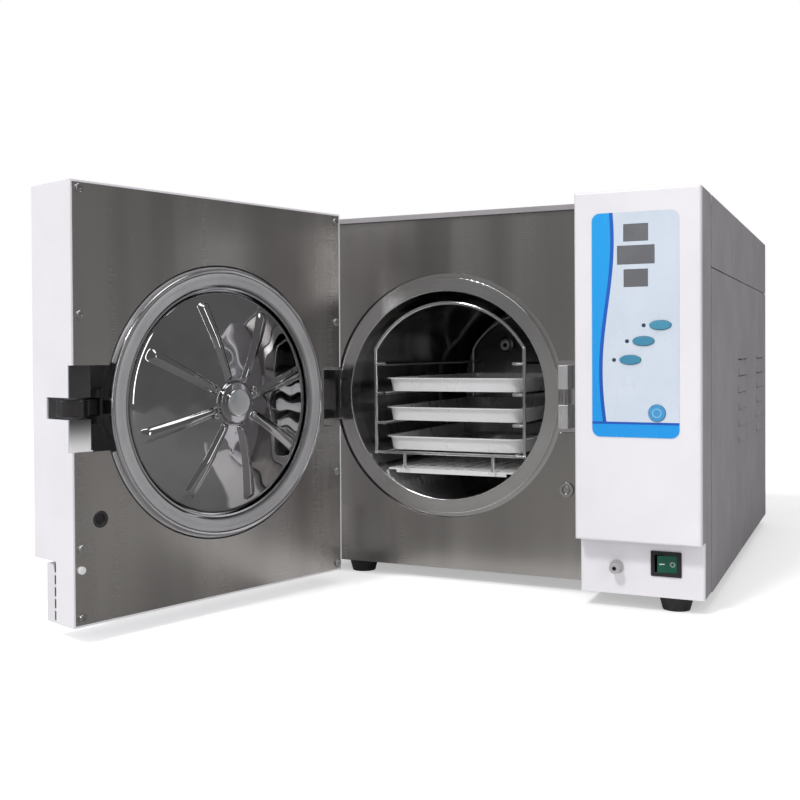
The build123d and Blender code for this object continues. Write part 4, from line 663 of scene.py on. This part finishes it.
def hub_pieces():
    """Cap screws beside the hub, and the domed head of the middle bolt with its dimple."""
    for number, angle in enumerate((28.0, -28.0, 152.0, 208.0)):
        turn = math.radians(angle)
        centre = (CHAMBER[0] + SCREW_CIRCLE * math.cos(turn), CHAMBER[1] + SCREW_CIRCLE * math.sin(turn))
        face = DOOR_FACE + dome_height(SCREW_CIRCLE)
        head = [(0.0, face + 1.2), (1.6, face + 1.2), (1.7, face + 3.0), (2.6, face + 3.0), (3.2, face + 2.4),
                (3.3, face - 2.0), (0.0, face - 2.0)]
        made(f"hub_screw_{number + 1}", spun(head, 32, centre), TO_DOOR, "door", TURNED_STEEL)
    face = DOOR_FACE + 22.0
    head = [(0.0, face + 1.4), (2.2, face + 1.4), (2.5, face + 2.6), (3.2, face + 3.0), (9.0, face + 2.7),
            (12.2, face + 1.9), (13.6, face + 0.9), (14.0, face - 0.2), (7.0, face - 0.2), (7.0, face - 60.0),
            (0.0, face - 60.0)]
    made("middle_bolt", spun(head, 96), TO_DOOR, "door", PALE_STEEL)


pressed_plate()
ring_and_gasket()
hub_pieces()


def lock_collar():
    """The pressed rim round the door's lock hole."""
    low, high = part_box("lock_bolt")
    centre = (((low[0] + high[0]) / 2 - SHIFT.x) * 1000, (low[2] + high[2]) / 2 * 1000)
    rim = [(5.1, DOOR_FACE - 0.3), (5.1, DOOR_FACE + 0.3), (7.6, DOOR_FACE + 0.3), (8.2, DOOR_FACE - 0.3)]
    made("lock_hole_rim", spun(rim, 64, centre), TO_DOOR, "door", DARK_STEEL)


def ring_surround():
    """The pale edge in the narrow gap between the door's sheet and the chromed channel, above
    and below the pockets of the hinge and the latch."""
    inner, outer = RING_RADIUS + 0.1, SHEET_HOLE - 1.7
    high, low = DOOR_FACE - 0.5, DOOR_FACE - 1.4
    free = math.asin((LATCH_POCKET + 2.0) / inner)
    hinge = math.asin((HINGE_POCKET + 2.0) / inner)
    for name, start, end in (("upper", free, math.pi - hinge), ("lower", -math.pi + hinge, -free)):
        bm = bmesh.new()
        corners = [bm.verts.new((radius * math.cos(start), depth, radius * math.sin(start)))
                   for radius, depth in ((inner, low), (inner, high), (outer, high), (outer, low))]
        edges = [bm.edges.new((corners[i], corners[(i + 1) % 4])) for i in range(4)]
        bmesh.ops.spin(bm, geom=corners + edges, cent=(0, 0, 0), axis=(0, -1, 0), angle=end - start, steps=72)
        bmesh.ops.holes_fill(bm, edges=[edge for edge in bm.edges if edge.is_boundary], sides=4)
        bmesh.ops.translate(bm, verts=bm.verts, vec=(CHAMBER[0], 0.0, CHAMBER[1]))
        made(f"ring_surround_{name}", bm, TO_DOOR, "door", PALE_STEEL)


def vent_painted_shade():
    """Dark strips just inside the air slots at the free end of the low plate, as painted shade in the slots' depth.
    """
    bm = bmesh.new()
    for row in range(VENT_ROWS):
        part = bmesh.ops.create_cube(bm, size=1.0)
        bmesh.ops.scale(bm, verts=part["verts"], vec=(0.4, 4.1, 8.1))
        foot = DOOR_FOOT + VENT_PITCH * row + VENT_FIN
        bmesh.ops.translate(bm, verts=part["verts"], vec=(DOOR_FREE_EDGE - 1.6, VENT_DEPTH, foot + 4.3))
    made("vent_slot_painted_shade", bm, TO_DOOR, "door", BLACK_PLASTIC)


lock_collar()
ring_surround()
vent_painted_shade()


# Chamber, its load and the feet

FOOT_FLARE = 1.25


def chamber_lining():
    """The drawn chamber with its dished end, as smooth walls."""
    wall = 2.5
    front, rear, bulge = 22.0, 380.0, 45.0
    inside = [(BORE, front)]
    for step in range(1, 13):
        inside.append((BORE, front + (rear - front) * step / 12))
    ball = (BORE ** 2 + bulge ** 2) / (2 * bulge)
    for step in range(1, 21):
        radius = BORE * (1 - step / 20)
        inside.append((radius, rear + bulge - ball + math.sqrt(ball ** 2 - radius ** 2)))
    outer_ball = ((BORE + wall) ** 2 + (bulge + wall) ** 2) / (2 * (bulge + wall))
    outside = []
    for step in range(0, 11):
        radius = (BORE + wall) * step / 10
        outside.append((radius, rear + bulge + wall - outer_ball + math.sqrt(outer_ball ** 2 - radius ** 2)))
    outside.append((BORE + wall, front))
    made("chamber_lining", spun(inside + outside, 160), TO_FRAME, "cabinet", CHAMBER_WALL,
         ("chamber_shell",), angle=45.0)


def steam_port():
    """The nut of the steam inlet, high on the dished end, with a black disc in its bore as painted shade."""
    centre = (CHAMBER[0] - 60.0, CHAMBER[1] + 60.0)
    seat = 398.0
    nut = [(0.0, seat - 1.0), (3.2, seat - 1.0), (3.2, seat - 7.0), (7.6, seat - 7.0), (8.4, seat - 6.0),
           (8.4, seat - 2.0), (10.5, seat - 1.0), (10.5, seat + 6.0), (0.0, seat + 6.0)]
    made("steam_port_nut", spun(nut, 48, centre), TO_FRAME, "cabinet", TURNED_STEEL)
    # A black disc as painted shade for the open bore.
    hole = [(0.0, seat - 1.4), (3.1, seat - 1.4), (3.1, seat - 1.0), (0.0, seat - 1.0)]
    made("steam_port_bore", spun(hole, 32, centre), TO_FRAME, "cabinet", BLACK_RUBBER)


def steam_plate_lip():
    """The turned-down front edge of the perforated plate."""
    low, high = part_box("perforated_plate")
    top = high[2] * 1000 - 0.2
    front = (low[1] - SHIFT.y) * 1000
    bm = bmesh.new()
    bmesh.ops.create_cube(bm, size=1.0)
    bmesh.ops.scale(bm, verts=bm.verts, vec=(138.0, 2.4, 5.4))
    bmesh.ops.translate(bm, verts=bm.verts, vec=(CHAMBER[0], front + 1.4, top - 2.7))
    made("steam_plate_lip", bm, TO_FRAME, node_body["perforated_plate"], TRAY_METAL,
         width=0.8, segments=3)


def feet():
    """The four feet, each flared a little about its own middle."""
    bm = bmesh.new()
    bm.from_mesh(frame["nodes"]["rubber_feet"].data)
    bmesh.ops.remove_doubles(bm, verts=bm.verts, dist=0.000004)
    waiting = set(bm.verts)
    for first in bm.verts:
        if first not in waiting:
            continue
        waiting.remove(first)
        island = [first]
        for vert in island:
            for edge in vert.link_edges:
                other = edge.other_vert(vert)
                if other in waiting:
                    waiting.remove(other)
                    island.append(other)
        xs, ys = [vert.co.x for vert in island], [vert.co.y for vert in island]
        middle_x, middle_y = (min(xs) + max(xs)) / 2, (min(ys) + max(ys)) / 2
        for vert in island:
            vert.co.x = middle_x + (vert.co.x - middle_x) * FOOT_FLARE
            vert.co.y = middle_y + (vert.co.y - middle_y) * FOOT_FLARE
    bmesh.ops.recalc_face_normals(bm, faces=bm.faces)
    bevelled(bm, 0.0009, 3)
    mesh = bpy.data.meshes.new("rubber_feet_rounded")
    bm.to_mesh(mesh)
    bm.free()
    settle("rubber_feet_rounded", mesh, node_body["rubber_feet"], BLACK_RUBBER,
           ("rubber_feet",))


chamber_lining()
steam_port()
steam_plate_lip()
feet()


# Column

def rocker_marks():
    """The line and the ring printed on the two halves of the rocker."""
    turn = Matrix.Translation(Vector((ROCKER_AXIS[0], ROCKER_AXIS[1], ROCKER_HEIGHT))) @ \
        Matrix.Rotation(math.radians(ROCKER_TILT), 4, "Z")
    slope = math.atan2(1.8, 9.7)
    for name, offset, side in (("rocker_line", -5.2, -1), ("rocker_ring", 5.2, 1)):
        bm = bmesh.new()
        if side < 0:
            bmesh.ops.create_cube(bm, size=1.0)
            bmesh.ops.scale(bm, verts=bm.verts, vec=(5.2, 0.24, 1.1))
        else:
            section = Matrix.Translation(Vector((2.1, 0.0, 0.0))) @ Matrix.Scale(0.25, 4, Vector((0, 1, 0))) @ \
                Matrix.Rotation(math.pi / 2, 4, "X")
            bmesh.ops.create_circle(bm, segments=12, radius=0.5, cap_ends=False, matrix=section)
            bmesh.ops.spin(bm, geom=bm.verts[:] + bm.edges[:], cent=(0, 0, 0), axis=(0, 1, 0), angle=math.tau,
                           steps=40, use_merge=True)
        lean = Matrix.Translation(Vector((offset, -6.9 - abs(offset) * math.tan(slope) - 0.06, 0.0))) @ \
            Matrix.Rotation(-side * slope, 4, "Z")
        made(name, bm, TO_FRAME @ turn @ lean, "rocker", KEY_MARK)


def start_mark():
    """The plain ring printed on the start key."""
    low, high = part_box("start_button")
    centre = (((low[0] + high[0]) / 2 - SHIFT.x) * 1000, (low[2] + high[2]) / 2 * 1000)
    face = (low[1] - SHIFT.y) * 1000
    ring = [(3.6, face + 0.1), (3.6, face - 0.08), (4.6, face - 0.08), (4.6, face + 0.1)]
    made("start_ring", spun(ring, 48, centre), TO_FRAME, node_body["start_button"], SYMBOL_BLUE)


rocker_marks()
start_mark()


# Floor, light and camera

def soft_light(name, place, aim, size, power, colour=(1.0, 1.0, 1.0)):
    data = bpy.data.lights.new(name, "AREA")
    data.shape = "RECTANGLE"
    data.size, data.size_y = size
    data.energy = power
    data.color = colour
    light = bpy.data.objects.new(name, data)
    light.location = place
    light.rotation_euler = (Vector(aim) - Vector(place)).to_track_quat("-Z", "Y").to_euler()
    bpy.context.scene.collection.objects.link(light)


def floor_finish():
    """A pale matte floor with a painted reflection: polished steel mirrors it dim, with a brighter strip in front
    of the machine.
    """
    material, tree, shader = blank_material("pale_floor")
    skin = grouped(tree, SKIN, coordinates(tree), Rough_Low=0.6, Rough_High=0.7, Peel_Scale=3.0)
    pale = colour_mix(tree, skin.outputs["Tone"], (0.9, 0.9, 0.903), (0.905, 0.905, 0.908))
    path = tree.nodes.new("ShaderNodeLightPath")
    parts = tree.nodes.new("ShaderNodeSeparateXYZ")
    tree.links.new(coordinates(tree, to_frame(130.0, -75.0, 0.0)), parts.inputs[0])
    across = ramp_value(tree, math_node(tree, "ABSOLUTE", parts.outputs[0]), 0.3, 0.26)
    along = ramp_value(tree, math_node(tree, "ABSOLUTE", parts.outputs[1]), 0.068, 0.052)
    near = math_node(tree, "MULTIPLY", across, along)
    mirrored = colour_mix(tree, near, (0.26, 0.255, 0.25), (0.76, 0.75, 0.74))
    tree.links.new(colour_mix(tree, path.outputs["Is Glossy Ray"], pale, mirrored), shader.inputs["Base Color"])
    tree.links.new(skin.outputs["Roughness"], shader.inputs["Roughness"])
    shader.inputs["Specular IOR Level"].default_value = 0.1
    glow = tree.nodes.new("ShaderNodeMath")
    glow.operation = "MULTIPLY"
    tree.links.new(path.outputs["Is Camera Ray"], glow.inputs[0])
    glow.inputs[1].default_value = 0.42
    shader.inputs["Emission Color"].default_value = (1.0, 1.0, 1.0, 1.0)
    tree.links.new(glow.outputs[0], shader.inputs["Emission Strength"])
    return material


def studio():
    floor_mesh = bpy.data.meshes.new("studio_floor")
    bm = bmesh.new()
    bmesh.ops.create_grid(bm, x_segments=1, y_segments=1, size=30.0)
    bm.to_mesh(floor_mesh)
    bm.free()
    floor = bpy.data.objects.new("studio_floor", floor_mesh)
    bpy.context.scene.collection.objects.link(floor)
    floor_mesh.materials.append(floor_finish())

    sun = bpy.data.lights.new("key_sun", "SUN")
    sun.energy = 1.15
    sun.angle = math.radians(9.0)
    key = bpy.data.objects.new("key_sun", sun)
    key.rotation_euler = Vector((0.2, 0.72, -0.82)).to_track_quat("-Z", "Y").to_euler()
    bpy.context.scene.collection.objects.link(key)
    soft_light("left_box", (-2.4, -2.2, 1.3), (0.0, -0.2, 0.2), (0.7, 2.2), 17.0)
    soft_light("high_box", (0.2, -0.6, 2.6), (0.0, 0.0, 0.2), (1.6, 1.2), 16.0)
    soft_light("right_strip", (1.9, -1.6, 1.0), (-0.1, -0.1, 0.2), (0.25, 1.8), 7.0)

    world = bpy.data.worlds.new("studio")
    world.use_nodes = True
    tree = world.node_tree
    background = tree.nodes["Background"]
    path = tree.nodes.new("ShaderNodeLightPath")
    glossy = colour_mix(tree, path.outputs["Is Glossy Ray"], (0.42, 0.42, 0.424), (0.17, 0.168, 0.168))
    seen = colour_mix(tree, path.outputs["Is Camera Ray"], glossy, (1.0, 1.0, 1.0))
    tree.links.new(seen, background.inputs["Color"])
    bpy.context.scene.world = world
    bpy.context.scene.view_settings.view_transform = "Standard"


def camera():
    """The photograph's own view, found from the straight edges of the cabinet and the door."""
    data = bpy.data.cameras.new("front_view")
    data.sensor_width = 36.0
    data.lens = 46.77
    data.shift_y = -0.0422
    data.clip_start = 0.05
    data.clip_end = 60.0
    yaw, pitch, roll = 0.430, -0.0129, 0.0057
    forward = Vector((-math.sin(yaw) * math.cos(pitch), math.cos(yaw) * math.cos(pitch), math.sin(pitch)))
    right = Vector((math.cos(yaw), math.sin(yaw), 0.0))
    up = right.cross(forward)
    turn = Matrix((right, up, -forward)).transposed().to_4x4()
    view = bpy.data.objects.new("front_view", data)
    place = Matrix.Translation(to_frame(387.96, -1110.72, 263.22))
    view.matrix_world = place @ turn @ Matrix.Rotation(-roll, 4, "Z")
    bpy.context.scene.collection.objects.link(view)
    bpy.context.scene.camera = view


studio()
camera()
